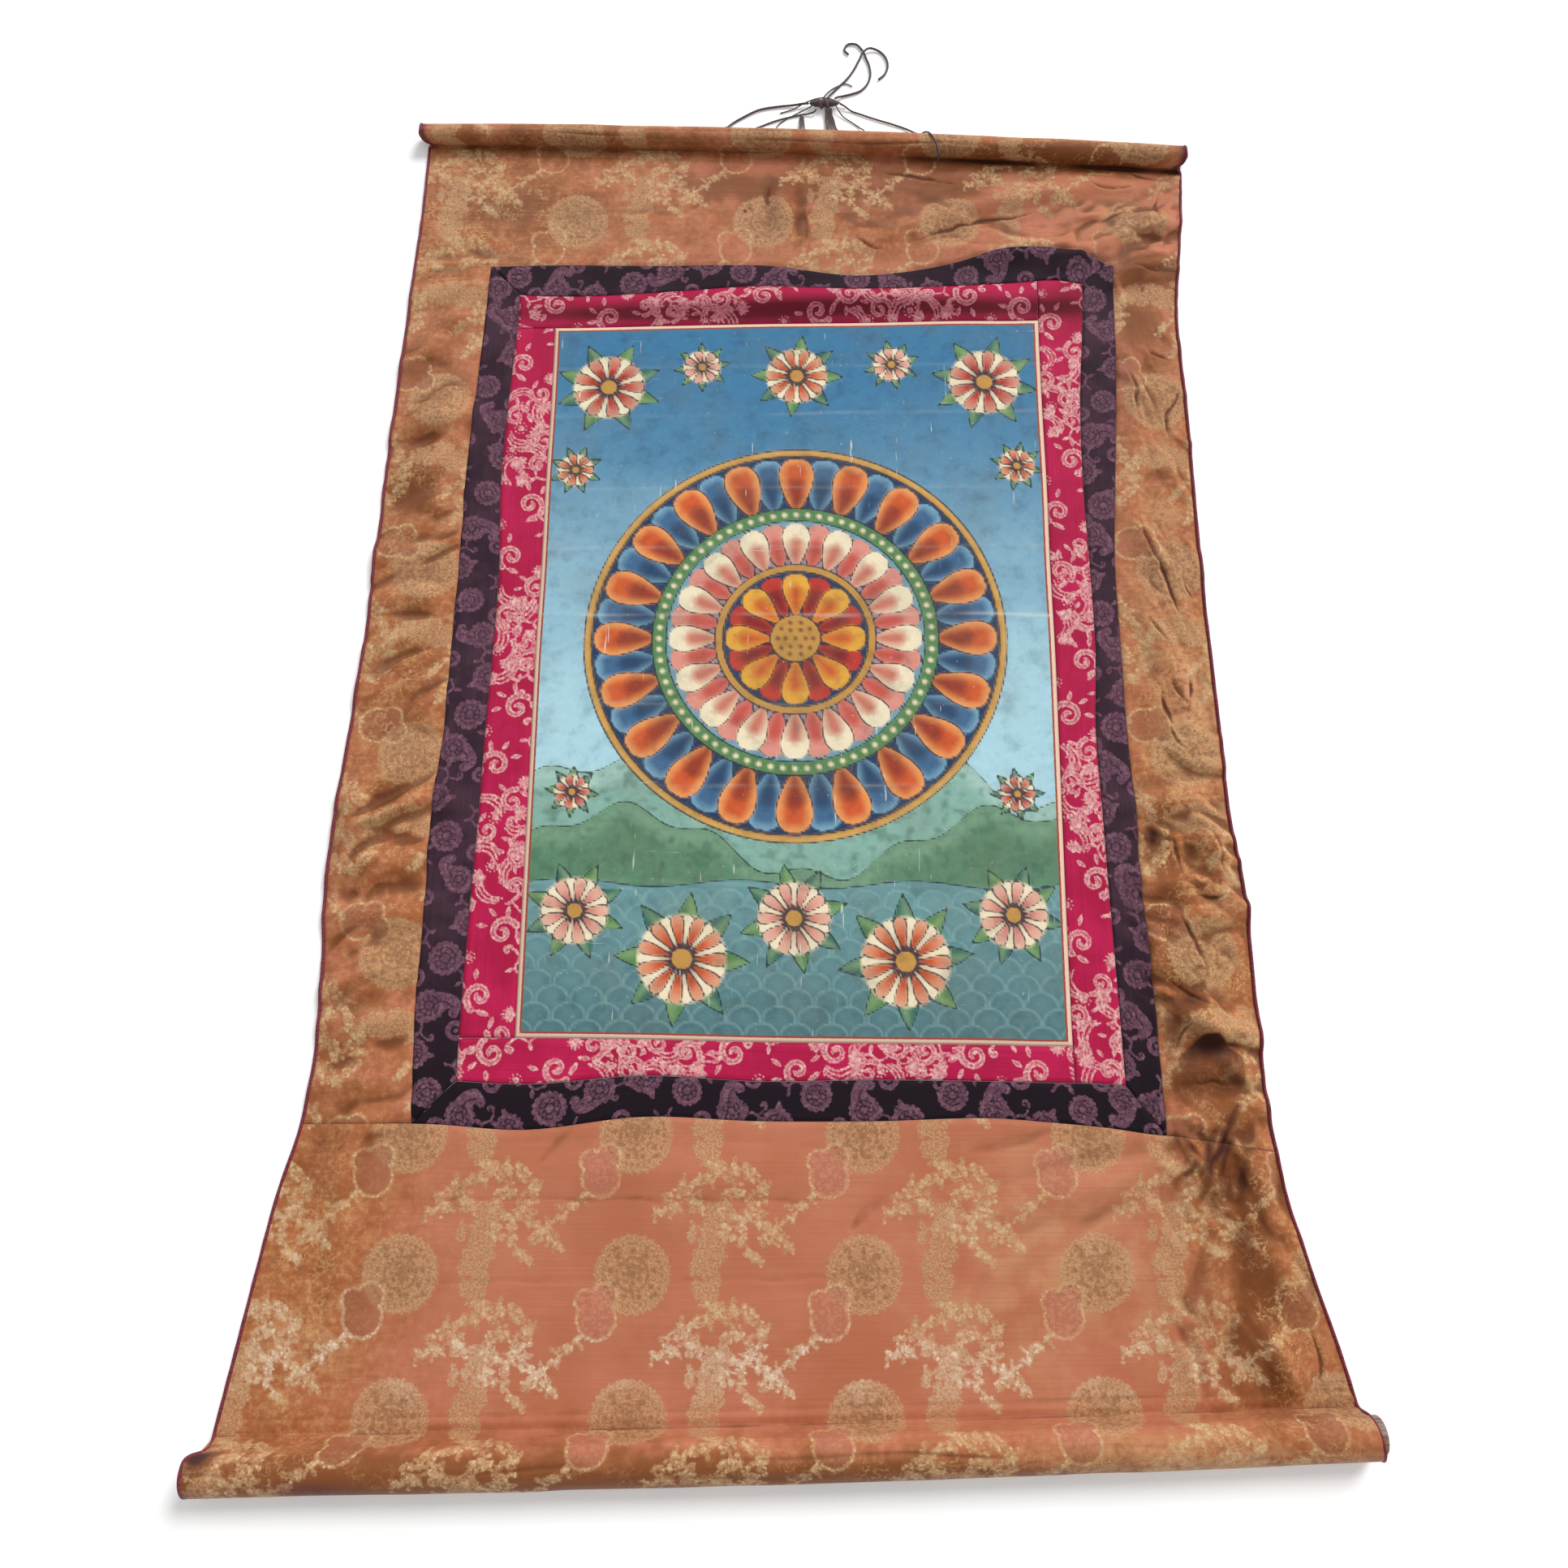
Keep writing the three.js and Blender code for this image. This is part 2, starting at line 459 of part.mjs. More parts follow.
// The knot is a rounded lump with the waist of two crossed turns, lying on the floor.
function knot() {
  const profile = [[-1, 0], [-0.92, 0.45], [-0.6, 0.95], [-0.25, 0.8], [0, 0.72], [0.25, 0.8], [0.6, 1],
    [0.92, 0.5], [1, 0]];
  const outline = profile.map(([along, out]) => new THREE.Vector2(out * KNOT.halfWidth, along * KNOT.halfLength));
  const geometry = new THREE.LatheGeometry(outline, 10);
  geometry.rotateZ(-Math.PI / 2);
  geometry.scale(1, 1, KNOT.halfHeight / KNOT.halfWidth);
  geometry.translate(KNOT.x, KNOT.y, KNOT.halfHeight + 0.2);
  return geometry;
}

const finishes = {
  paint: { color: 0x5f7f86, roughness: 0.8 },
  magenta: { color: 0xb8285a, roughness: 0.65 },
  aubergine: { color: 0x4a3148, roughness: 0.7 },
  brocade: { color: 0xb97850, roughness: 0.6 },
  piping: { color: 0x5a1820, roughness: 0.7 },
  wood: { color: 0x6e5540, roughness: 0.7 },
  cord: { color: 0x3a3130, roughness: 0.85 },
};

const scroll = new THREE.Group();

function add(name, geometry, finish) {
  const mesh = new THREE.Mesh(geometry, new THREE.MeshStandardMaterial({ ...finishes[finish], metalness: 0 }));
  mesh.name = name;
  scroll.add(mesh);
}

function clothFinish(name) {
  if (name.startsWith('inner')) {
    return 'magenta';
  }
  if (name.startsWith('outer')) {
    return 'aubergine';
  }
  return name === 'picture' ? 'paint' : 'brocade';
}

const grids = Object.fromEntries(Object.entries(CLOTHS).map(([name, seams]) => [name, panelGrid(seams)]));
for (const [name, grid] of Object.entries(grids)) {
  add(name, clothGeometry(grid.map((under) => ({ under }))), clothFinish(name));
}
const topSections = topGrid.map((under) => addSleeve(under, ROD, 1, ROD_FLARE));
const bottomSections = bottomGrid.map((under) => addSleeve(under, ROLLER, -1, ROLLER_FLARE));
add('mount_top', clothGeometry(topSections), 'brocade');
add('mount_bottom', clothGeometry(bottomSections), 'brocade');
add('top_rod', woodenRod(ROD, ROD.leftX + ROD_RECESS, ROD.rightX - ROD_RECESS), 'wood');
add('bottom_roller', woodenRod(ROLLER, ROLLER.leftX + ROLLER_RECESS, ROLLER.rightX), 'wood');
const leftEdge = pipingPath(topGrid.at(-1).slice().reverse(), grids.mount_left[0], bottomGrid[0], -1);
const rightEdge = pipingPath(topGrid[0].slice().reverse(), grids.mount_right.at(-1), bottomGrid.at(-1), 1);
add('binding_left', tube(leftEdge, PIPING, PIPING_SIDES), 'piping');
add('binding_right', tube(rightEdge, PIPING, PIPING_SIDES), 'piping');
for (const [name, strand] of Object.entries(CORD_ROUTES)) {
  add(name, cord(strand), 'cord');
}
add('cord_knot', knot(), 'cord');

export default scroll;
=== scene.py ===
# %% [markdown]
# # A hanging scroll, laid out face up
# The real thing is a painted cotton sheet inside two rings of narrow silk strips, all sewn into a brocade mount
# that flares towards the foot. A thin rod sits in a sleeve at the head and a thicker roller at the foot.
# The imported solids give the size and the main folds. This lesson lays finer cloth over each of them.

# %% Load the frame
import math

import bpy
import numpy as np
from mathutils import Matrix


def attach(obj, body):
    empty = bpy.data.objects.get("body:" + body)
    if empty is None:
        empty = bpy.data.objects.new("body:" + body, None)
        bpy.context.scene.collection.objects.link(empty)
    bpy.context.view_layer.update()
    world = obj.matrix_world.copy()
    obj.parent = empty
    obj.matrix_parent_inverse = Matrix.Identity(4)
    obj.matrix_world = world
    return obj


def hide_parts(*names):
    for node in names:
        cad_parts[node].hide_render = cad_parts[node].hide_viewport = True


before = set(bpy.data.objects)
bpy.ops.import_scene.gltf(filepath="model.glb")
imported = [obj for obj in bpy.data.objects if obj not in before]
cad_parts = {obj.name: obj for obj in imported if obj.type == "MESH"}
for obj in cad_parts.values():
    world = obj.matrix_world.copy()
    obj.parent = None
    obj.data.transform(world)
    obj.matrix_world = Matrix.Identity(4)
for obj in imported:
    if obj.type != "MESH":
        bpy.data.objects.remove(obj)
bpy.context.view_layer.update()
MM = 0.001

# %% [markdown]
# ## The camera
# The scroll is seen from above its lower half, leaning back a little, so its far end looks narrower. A camera
# is described by its place, its tilt from straight down and its lens. The lens comes from the focal length in
# pixels, because a square frame of known size then gives the same picture at any render size.

# %% Camera
FRAME_PX = 1932
FOCAL_PX = 1550
SENSOR_MM = 36
CAMERA_PLACE = (0.0, -0.3025, 0.938)
CAMERA_TILT = math.radians(14.8)

camera_data = bpy.data.cameras.new("camera")
camera_data.sensor_width = SENSOR_MM
camera_data.lens = SENSOR_MM * FOCAL_PX / FRAME_PX
camera = bpy.data.objects.new("camera", camera_data)
camera.location = CAMERA_PLACE
camera.rotation_euler = (CAMERA_TILT, 0, 0)
bpy.context.collection.objects.link(camera)
bpy.context.scene.camera = camera
print("lens:", round(camera_data.lens, 2), "mm")

# %% [markdown]
# ## Grids of points
# Every piece here is a grid: a sheet is a grid over its length and width, and a cord is a grid along its path
# and around it. One function turns a grid of points into a mesh with a cloth map and any painted values, and
# one turns a path into a tube, so the pieces below only have to say where their points are.

# %% Mesh tools
def mix(a, b, t):
    """The value t of the way from a to b."""
    return a + (b - a) * t


def ease(t):
    """A soft step from 0 to 1: three times t squared less two times t cubed, with t held between 0 and 1."""
    t = np.clip(t, 0, 1)
    return t * t * (3 - 2 * t)


def bell(off, wide):
    """A bell curve: e to the power of minus the square of a distance over its width."""
    return np.exp(-((off / wide) ** 2))


def heading(turn):
    """Cosine and sine of a turn in degrees."""
    return math.cos(math.radians(turn)), math.sin(math.radians(turn))


def turned_axes(dx, dy, turn):
    """How far a step goes along a direction turned by so many degrees, and how far across it."""
    cos, sin = heading(turn)
    return dx * cos + dy * sin, dy * cos - dx * sin


def grid_mesh(name, grids, wrap=False):
    """One mesh from grids of points. Each grid is a dict: points (rows, columns, 3), cloth (rows, columns, 2)
    for the cloth map, and values, a dict of one number or colour a point. Faces look up where rows run
    down a sheet and columns run to the right. wrap joins the last column to the first."""
    mesh = bpy.data.meshes.new(name)
    points, faces, cloth, start = [], [], [], 0
    for grid in grids:
        rows, columns = grid["points"].shape[:2]
        index = np.arange(rows * columns).reshape(rows, columns) + start
        if wrap:
            index = np.concatenate([index, index[:, :1]], axis=1)
        corners = [index[:-1, :-1], index[1:, :-1], index[1:, 1:], index[:-1, 1:]]
        faces.append(np.stack(corners, axis=-1).reshape(-1, 4))
        points.append(grid["points"].reshape(-1, 3))
        cloth.append(grid["cloth"].reshape(-1, 2))
        start += rows * columns
    points, faces, cloth = np.concatenate(points), np.concatenate(faces), np.concatenate(cloth)
    mesh.vertices.add(len(points))
    mesh.vertices.foreach_set("co", points.astype(np.float32).ravel())
    mesh.loops.add(faces.size)
    mesh.loops.foreach_set("vertex_index", faces.astype(np.int32).ravel())
    mesh.polygons.add(len(faces))
    mesh.polygons.foreach_set("loop_start", np.arange(0, faces.size, 4, dtype=np.int32))
    mesh.polygons.foreach_set("use_smooth", np.ones(len(faces), dtype=bool))
    mesh.update(calc_edges=True)
    layer = mesh.uv_layers.new(name="cloth")
    layer.data.foreach_set("uv", cloth[faces.ravel()].astype(np.float32).ravel())
    for key, value in grids[0].get("values", {}).items():
        kind, field = ("FLOAT_COLOR", "color") if value.ndim == 3 else ("FLOAT", "value")
        attribute = mesh.attributes.new(key, kind, "POINT")
        attribute.data.foreach_set(field, value.astype(np.float32).ravel())
    return mesh


def add_piece(name, mesh, material, nodes):
    """Puts a mesh in the scene as a piece that stands for the named solids."""
    piece = bpy.data.objects.new(name, mesh)
    bpy.context.collection.objects.link(piece)
    mesh.materials.append(material)
    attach(piece, "root")
    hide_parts(*nodes)
    print(name, len(mesh.polygons), "faces")
    return piece

# %% Tubes, curves and noise
PLY_SWELL, PLY_SINK = 0.16, 0.1
CLOSED = 1e-6


def tube_grid(path, radius, sides, plies=0, twist=0.0, ends=True):
    """A round grid along a path. At each point the ring lies across the path's direction and keeps its turn
    from the ring before. With plies, the radius swells plies times around, turned by twist for each metre."""
    ahead = np.gradient(path, axis=0)
    ahead /= np.linalg.norm(ahead, axis=1, keepdims=True)
    across = np.empty_like(path)
    carried = np.array([1.0, 0.0, 0.0]) if abs(ahead[0, 0]) < 0.8 else np.array([0.0, 0.0, 1.0])
    for i, direction in enumerate(ahead):
        carried = carried - direction * (carried @ direction)
        carried /= np.linalg.norm(carried)
        across[i] = carried
    up = np.cross(ahead, across)
    along = np.concatenate([[0], np.cumsum(np.linalg.norm(np.diff(path, axis=0), axis=1))])
    angle = -2 * np.pi * np.arange(sides) / sides
    swell = np.ones((len(path), sides))
    if plies:
        swell += PLY_SWELL * np.abs(np.cos(0.5 * plies * (angle[None] - twist * along[:, None]))) - PLY_SINK
    size = np.broadcast_to(radius, len(path))[:, None] * swell
    if ends:
        size[0] = size[-1] = CLOSED
    out = across[:, None] * np.cos(angle)[None, :, None] + up[:, None] * np.sin(angle)[None, :, None]
    cloth = np.stack(np.broadcast_arrays(angle[None] / (2 * np.pi), along[:, None]), axis=-1)
    return {"points": path[:, None] + out * size[..., None], "cloth": cloth}


def cubic(p, span, values, slopes, i):
    """A cubic from value i to the next, at the share p of the span between them, with the slopes given there."""
    start = (2 * p**3 - 3 * p**2 + 1) * values[i] + (p**3 - 2 * p**2 + p) * span * slopes[i]
    return start + (3 * p**2 - 2 * p**3) * values[i + 1] + (p**3 - p**2) * span * slopes[i + 1]


def curve_through(points, step):
    """A smooth path through points: between two of them a cubic whose slope at each point follows its two
    neighbours, sampled about every step."""
    points = np.asarray(points, float)
    knots = np.concatenate([[0], np.cumsum(np.linalg.norm(np.diff(points, axis=0), axis=1))])
    slopes = np.gradient(points, knots, axis=0)
    at = np.linspace(0, knots[-1], max(8, int(knots[-1] / step)))
    i = np.clip(np.searchsorted(knots, at) - 1, 0, len(knots) - 2)
    span = (knots[i + 1] - knots[i])[:, None]
    return cubic((at - knots[i])[:, None] / span, span, points, slopes, i)


LATTICE = 128


def soft_noise(u, v, size, seed):
    """Smooth noise from -1 to 1: random heights on a square lattice, blended between four corners."""
    table = np.random.default_rng(seed).uniform(-1, 1, (LATTICE, LATTICE))
    i, j = np.floor(u / size).astype(int), np.floor(v / size).astype(int)
    p, q = ease(u / size - i), ease(v / size - j)
    near, far = (mix(table[i % LATTICE, row % LATTICE], table[(i + 1) % LATTICE, row % LATTICE], p)
                 for row in (j, j + 1))
    return mix(near, far, q)

# %% [markdown]
# ## Material tools
# A procedural material is a graph of nodes. These helpers add a node with its values and links in one call.
# Two effects serve several cloths, so they are node groups: the weave, with its raised threads, thicker slub
# threads and fine specks, and the grime that gathers in blotches. Both read the cloth map, which is in metres.

# %% Node tools
def colour(red, green, blue):
    """A colour as seen on a screen, 0 to 255, turned into the linear light that shaders use."""
    seen = np.array([red, green, blue]) / 255
    linear = np.where(seen <= 0.04045, seen / 12.92, ((seen + 0.055) / 1.055) ** 2.4)
    return (*linear.tolist(), 1.0)


def fill(tree, made, sockets):
    """Fills a node's sockets with values, or with links from other nodes."""
    for key, value in sockets.items():
        if isinstance(value, bpy.types.NodeSocket):
            tree.links.new(value, made.inputs[key])
        else:
            made.inputs[key].default_value = value


def node(tree, kind, sockets, **settings):
    """Adds a node, sets it up and fills its sockets."""
    made = tree.nodes.new(kind)
    for key, value in settings.items():
        setattr(made, key, value)
    fill(tree, made, sockets)
    return made


def blend(tree, factor, first, second, how="MIX"):
    """Mixes two colours, each a socket or red, green and blue as seen on a screen. Sockets 0, 6 and 7 are the
    factor and the two colours of a colour Mix node."""
    first, second = (colour(*shade) if isinstance(shade, tuple) else shade for shade in (first, second))
    made = node(tree, "ShaderNodeMix", {0: factor, 6: first, 7: second}, data_type="RGBA", blend_type=how)
    return made.outputs[2]


def layered(tree, base, *layers):
    """Colours laid over a base in turn. Each layer is a mask and its colour."""
    for mask, shade in layers:
        base = blend(tree, mask, base, shade)
    return base


def remap(tree, value, low, high, to_low=0.0, to_high=1.0):
    """A soft step of a value from low to high."""
    sockets = {"Value": value, "From Min": low, "From Max": high, "To Min": to_low, "To Max": to_high}
    return node(tree, "ShaderNodeMapRange", sockets, interpolation_type="SMOOTHSTEP").outputs["Result"]


def sums(tree, first, second, how="ADD"):
    return node(tree, "ShaderNodeMath", {0: first, 1: second}, operation=how).outputs[0]


def times(tree, first, second):
    return sums(tree, first, second, "MULTIPLY")


def painted(tree, name, output="Fac"):
    return node(tree, "ShaderNodeAttribute", {}, attribute_name=name).outputs[output]


def cloth_map(tree):
    return node(tree, "ShaderNodeUVMap", {}, uv_map="cloth").outputs["UV"]


def object_place(tree):
    return node(tree, "ShaderNodeTexCoord", {}).outputs["Object"]


def stretched(tree, vector, along, across, deep=1.0, turn=0.0):
    """A place scaled and then turned about the vertical, so that noise read there is drawn out one way."""
    sockets = {"Vector": vector, "Rotation": (0, 0, turn), "Scale": (along, across, deep)}
    return node(tree, "ShaderNodeMapping", sockets).outputs["Vector"]


def noise(tree, vector, scale, detail=2.0, roughness=0.5):
    sockets = {"Vector": vector, "Scale": scale, "Detail": detail, "Roughness": roughness}
    return node(tree, "ShaderNodeTexNoise", sockets).outputs["Fac"]


def jitter(tree, vector, scale, amount, detail=2.0, roughness=0.5):
    """Noise about zero, to make the edge of a figure uneven."""
    return times(tree, sums(tree, noise(tree, vector, scale, detail, roughness), 0.5, "SUBTRACT"), amount)


def frayed(tree, name, fray, low, high, to_low=0.0, to_high=1.0):
    """A soft step of a painted distance, its edge made uneven by a fray."""
    return remap(tree, sums(tree, painted(tree, name), fray), low, high, to_low, to_high)


def new_group(name, inputs, outputs):
    """A node group with its sockets. Returns it, the values that enter it and the node that they leave by."""
    group = bpy.data.node_groups.new(name, "ShaderNodeTree")
    for sockets, way in ((inputs, "INPUT"), (outputs, "OUTPUT")):
        for key, kind in sockets.items():
            group.interface.new_socket(key, in_out=way, socket_type="NodeSocket" + kind)
    return group, node(group, "NodeGroupInput", {}).outputs, node(group, "NodeGroupOutput", {})


def new_material(name):
    material = bpy.data.materials.new(name)
    material.use_nodes = True
    return material, material.node_tree, material.node_tree.nodes["Principled BSDF"]


def dress(tree, shader, base, height, strength, depth, sockets):
    """Links a colour and a raised pattern to a shader and fills its other sockets."""
    bump = node(tree, "ShaderNodeBump", {"Height": height, "Strength": strength, "Distance": depth * MM})
    fill(tree, shader, {"Base Color": base, "Normal": bump.outputs["Normal"], **sockets})

# %% Weave and grime groups
weave, entry, leave = new_group("woven_threads", {"Cloth": "Vector", "Pitch": "Float"},
                                {"Height": "Float", "Slub": "Float", "Speck": "Float"})
threads = node(weave, "ShaderNodeVectorMath", {0: entry["Cloth"], "Scale": entry["Pitch"]}, operation="SCALE")
lines = [node(weave, "ShaderNodeTexWave", {"Vector": threads.outputs[0], "Scale": 1.0, "Distortion": 1.2},
              bands_direction=direction).outputs["Fac"] for direction in "XY"]
slub = noise(weave, stretched(weave, entry["Cloth"], 14.0, 620.0), 1.0, 3.0, 0.6)
speck = noise(weave, entry["Cloth"], 620.0, 2.0, 0.65)
fill(weave, leave, {"Height": sums(weave, times(weave, *lines), slub), "Slub": remap(weave, slub, 0.35, 0.7),
                    "Speck": remap(weave, speck, 0.38, 0.62)})

grime, entry, leave = new_group("grime", {"Cloth": "Vector", "Blotch": "Float"}, {"Wide": "Float", "Fine": "Float"})
wide = noise(grime, entry["Cloth"], entry["Blotch"], 4.0, 0.6)
fine = noise(grime, entry["Cloth"], 210.0, 3.0, 0.6)
fill(grime, leave, {"Wide": remap(grime, wide, 0.36, 0.68), "Fine": remap(grime, fine, 0.4, 0.7)})


def new_cloth(name, pitch, blotch):
    """A cloth material with its map, its woven threads and its grime."""
    material, tree, shader = new_material(name)
    cloth = cloth_map(tree)
    threads = node(tree, "ShaderNodeGroup", {"Cloth": cloth, "Pitch": pitch}, node_tree=weave).outputs
    dirt = node(tree, "ShaderNodeGroup", {"Cloth": cloth, "Blotch": blotch}, node_tree=grime).outputs
    return material, tree, shader, cloth, threads, dirt


print("groups:", [group.name for group in bpy.data.node_groups])

# %% [markdown]
# ## The hanging cord
# A limp brown cord comes out behind the top sleeve, runs into a knot and leaves two free ends above it. A third
# strand runs back over the sleeve. Each strand is a tube along a given route, the same as its solid's,
# and its radius swells twice around and turns along the way, as two twisted plies do.

# %% Cord material
cord_finish, tree, shader = new_material("twisted_cord")
cloth = cloth_map(tree)
strands = noise(tree, stretched(tree, cloth, 26.0, 900.0), 1.0, 3.0, 0.6)
fibre = layered(tree, blend(tree, remap(tree, strands, 0.35, 0.7), (40, 27, 29), (96, 78, 76)),
                (remap(tree, noise(tree, cloth, 90.0), 0.5, 0.8), (120, 104, 98)))
dress(tree, shader, fibre, strands, 0.5, 0.3, {"Roughness": 0.85, "Sheen Weight": 0.3})

# %% Cord routes and strands
CORD_RADIUS = 0.95 * MM
THREAD_RADIUS = 0.75 * MM
TIE_RADIUS = 0.85 * MM
CORD_TWIST = 900.0
CORD_STEP = 0.8 * MM
CORD_SIDES = 10
CORD_ROUTES = {
    "cord_left": (CORD_RADIUS, "knot", [
        (-52, 541.9, 8), (-52, 544, 7.8), (-50, 550, 3.5), (-45, 556.5, 1.4), (-37, 562, 1.4), (-23, 570, 1.4),
        (-4, 574, 1.4), (9, 575, 2), (18, 575, 3.8), (22.6, 575, 4.2)]),
    "cord_slack": (THREAD_RADIUS, "knot", [
        (-26, 541.1, 8), (-26, 543.2, 7.8), (-25, 548, 4), (-20, 553, 1.2), (-9, 558, 1.2), (3, 562, 1.2),
        (14, 564.8, 1.2), (23, 566, 2), (28, 567.2, 3.8), (29, 569.5, 4.2)]),
    "cord_right": (THREAD_RADIUS, "object", [
        (49.4, 575, 4.2), (53, 573.5, 3.4), (60, 569.5, 1.2), (68, 566, 1.2), (83, 560, 1.2), (97, 555, 1.2),
        (109, 550, 1.2), (117, 544, 3), (121, 538.5, 8), (124, 536, 13), (127, 531.5, 17.5), (130, 525.5, 19.3),
        (133, 519.5, 17.8), (135, 515.3, 13), (136, 513.4, 7), (136, 512.4, 3.6)]),
    "cord_loop_left": (CORD_RADIUS, "bare", [
        (39, 579.9, 4.2), (39.8, 582.5, 3.4), (44, 589, 1.6), (50, 596, 1.4), (57, 604, 1.4), (63, 613.5, 1.4),
        (68, 623, 3), (72, 631, 4.4), (78, 636.5, 3), (86, 635, 1.4), (92, 628, 1.4), (94, 618, 1.4),
        (91, 609, 1.4), (85, 603, 1.4)]),
    "cord_loop_right": (CORD_RADIUS, "bare", [
        (45.5, 579.9, 4.2), (47.2, 582, 3.2), (53, 585, 1.6), (61, 587.5, 1.4), (69, 591, 1.4), (75, 598, 1.4),
        (78, 607, 1.4), (77.5, 617, 1.4), (74.5, 627, 1.4), (71, 636, 1.4), (65, 642.5, 1.4), (58, 642, 1.4),
        (55, 636, 1.4), (59, 630.5, 1.4)]),
}
TIE_ROUTES = {
    # steps to the side of the tie's strands, then the middle route
    "cord_tie_left": ((-2.2, 0, 2.0), [
        (16, 539.7, 8), (16, 542, 7.8), (16, 549, 4), (16, 557, 1.4), (16, 563.8, 1.2)]),
    "cord_tie_right": ((-5.5, -3.0, -0.6, 2.0, 4.6), [
        (43, 538.7, 8), (43, 541, 7.8), (42.5, 548, 4), (41.5, 557, 1.4), (40.5, 564.5, 2.4), (40, 569.8, 4.2)]),
}
LOOSE_THREADS = (
    [(34, 577, 4.2), (36, 584, 2), (46, 595, 0.9), (56, 599, 0.9), (62, 596, 0.9)],
    [(46, 573, 4.2), (53, 563, 1.4), (61, 557, 0.9), (68, 551, 1.2), (71, 546, 4), (71, 540, 8)],
    [(-7, 541, 8), (-7, 546, 4), (-6, 553, 1.2), (1, 560, 0.9), (11, 566, 1.2), (26, 573, 3.6)],
    [(-4, 567, 0.9), (8, 571, 1.2), (20, 577, 3.2), (36, 579.5, 5.6), (49, 577, 3.2), (56, 573, 0.9)],
)
LOOSE_RADIUS = 0.55 * MM
KNOT_CENTRE = np.array([36, 575, 4.2]) * MM
KNOT_HALF = np.array([11.5, 4.2, 2.6]) * MM
KNOT_TURNS = 4
KNOT_CORD = 1.4 * MM
CORE_RADIUS, CORE_LONG, CORE_POINTS = 3.4 * MM, 1.15, 40

for name, (steps, route) in TIE_ROUTES.items():
    line = curve_through(np.array(route) * MM, CORD_STEP)
    narrow = np.linspace(1, 0.45, len(line))
    strands = []
    for seed, step in enumerate(steps):
        wave = 0.5 * soft_noise(line[:, 1], 0 * narrow, 6 * MM, 70 + seed)
        strands.append(line + np.stack([MM * (step * narrow + wave), 0 * wave, 0.3 * MM * (1 + wave)], axis=-1))
    grids = [tube_grid(strand, TIE_RADIUS, CORD_SIDES, 3, CORD_TWIST) for strand in strands]
    add_piece(name, grid_mesh(name, grids, wrap=True), cord_finish, [name])

t = np.linspace(0, 1, 240)
swell = np.sin(np.pi * np.clip(t, 0.08, 0.92))
turn = 2 * np.pi * KNOT_TURNS * t
coil = np.stack([2 * t - 1, np.cos(turn) * swell, np.sin(turn) * swell], axis=1)
core_x = np.linspace(-CORE_LONG, CORE_LONG, CORE_POINTS)
core = np.stack([core_x, 0 * core_x, 0 * core_x], axis=1) * KNOT_HALF
core_size = CORE_RADIUS * np.sqrt(np.clip(1.02 - (core[:, 0] / (CORE_LONG * KNOT_HALF[0])) ** 2, 0, 1))
knot_grids = [tube_grid(KNOT_CENTRE + coil * KNOT_HALF, KNOT_CORD, CORD_SIDES, 2, CORD_TWIST),
              tube_grid(KNOT_CENTRE + core, core_size, CORD_SIDES, ends=False)]
knot_grids += [tube_grid(curve_through(np.array(route) * MM, CORD_STEP), LOOSE_RADIUS, 8, 2, CORD_TWIST)
               for route in LOOSE_THREADS]
knot = add_piece("cord_knot", grid_mesh("cord_knot", knot_grids, wrap=True), cord_finish, ["cord_knot"])

for name, (radius, far_end, route) in CORD_ROUTES.items():
    line = curve_through(np.array(route) * MM, CORD_STEP)
    mesh = grid_mesh(name, [tube_grid(line, radius, CORD_SIDES, 2, CORD_TWIST)], wrap=True)
    strand = add_piece(name, mesh, cord_finish, [name])

# %% [markdown]
# ## Seams and folds
# The solids were laid out from two short tables: lines that run down the scroll and lines that run across it.
# The same tables give the cloth its edges here, so each sheet meets its neighbour along one seam. A third table
# lists the folds of the slack cloth. Each is a soft ridge, and where their sum is low the cloth lies flat.

# %% Seam lines
DOWN_COLUMNS = ("y", "edge_left", "outer_left", "inner_left", "picture_left",
                "picture_right", "inner_right", "outer_right", "edge_right")
DOWN_LINES = np.array([
    (-548, -391, -265, -238, -197, 211, 248, 274, 399),
    (-503, -384, -265, -238, -197, 211, 248, 274, 391),
    (-451, -375, -265, -238, -197, 211, 248, 274, 379),
    (-404, -367, -266, -238, -197, 211, 248, 274, 365),
    (-355, -358, -267, -238, -197, 211, 248, 274, 354),
    (-308, -346, -268, -238, -197, 211, 248, 274, 347),
    (-236, -340, -271, -238, -197, 211, 247, 273, 346),
    (-140, -344, -270, -236, -197, 212, 245, 269, 345),
    (-76, -342, -270, -234, -197, 213, 244, 269, 339),
    (-11, -337, -265, -233, -197, 214, 243, 267, 338),
    (56, -332, -264, -231, -197, 215, 247, 267, 336),
    (126, -329, -262, -230, -196, 215, 247, 267, 335),
    (198, -327, -262, -233, -196, 216, 246, 272, 335),
    (273, -324, -259, -231, -195, 216, 248, 278, 335),
    (359, -320, -255, -227, -195, 217, 255, 282, 334),
    (407, -318, -253, -227, -195, 218, 257, 283, 339),
    (457, -315, -253, -227, -195, 218, 257, 284, 345),
    (532, -314, -253, -227, -195, 218, 257, 285, 351),
]) * MM
CROSS_COLUMNS = ("x", "outer_top", "inner_top", "picture_top", "picture_bottom", "inner_bottom", "outer_bottom")
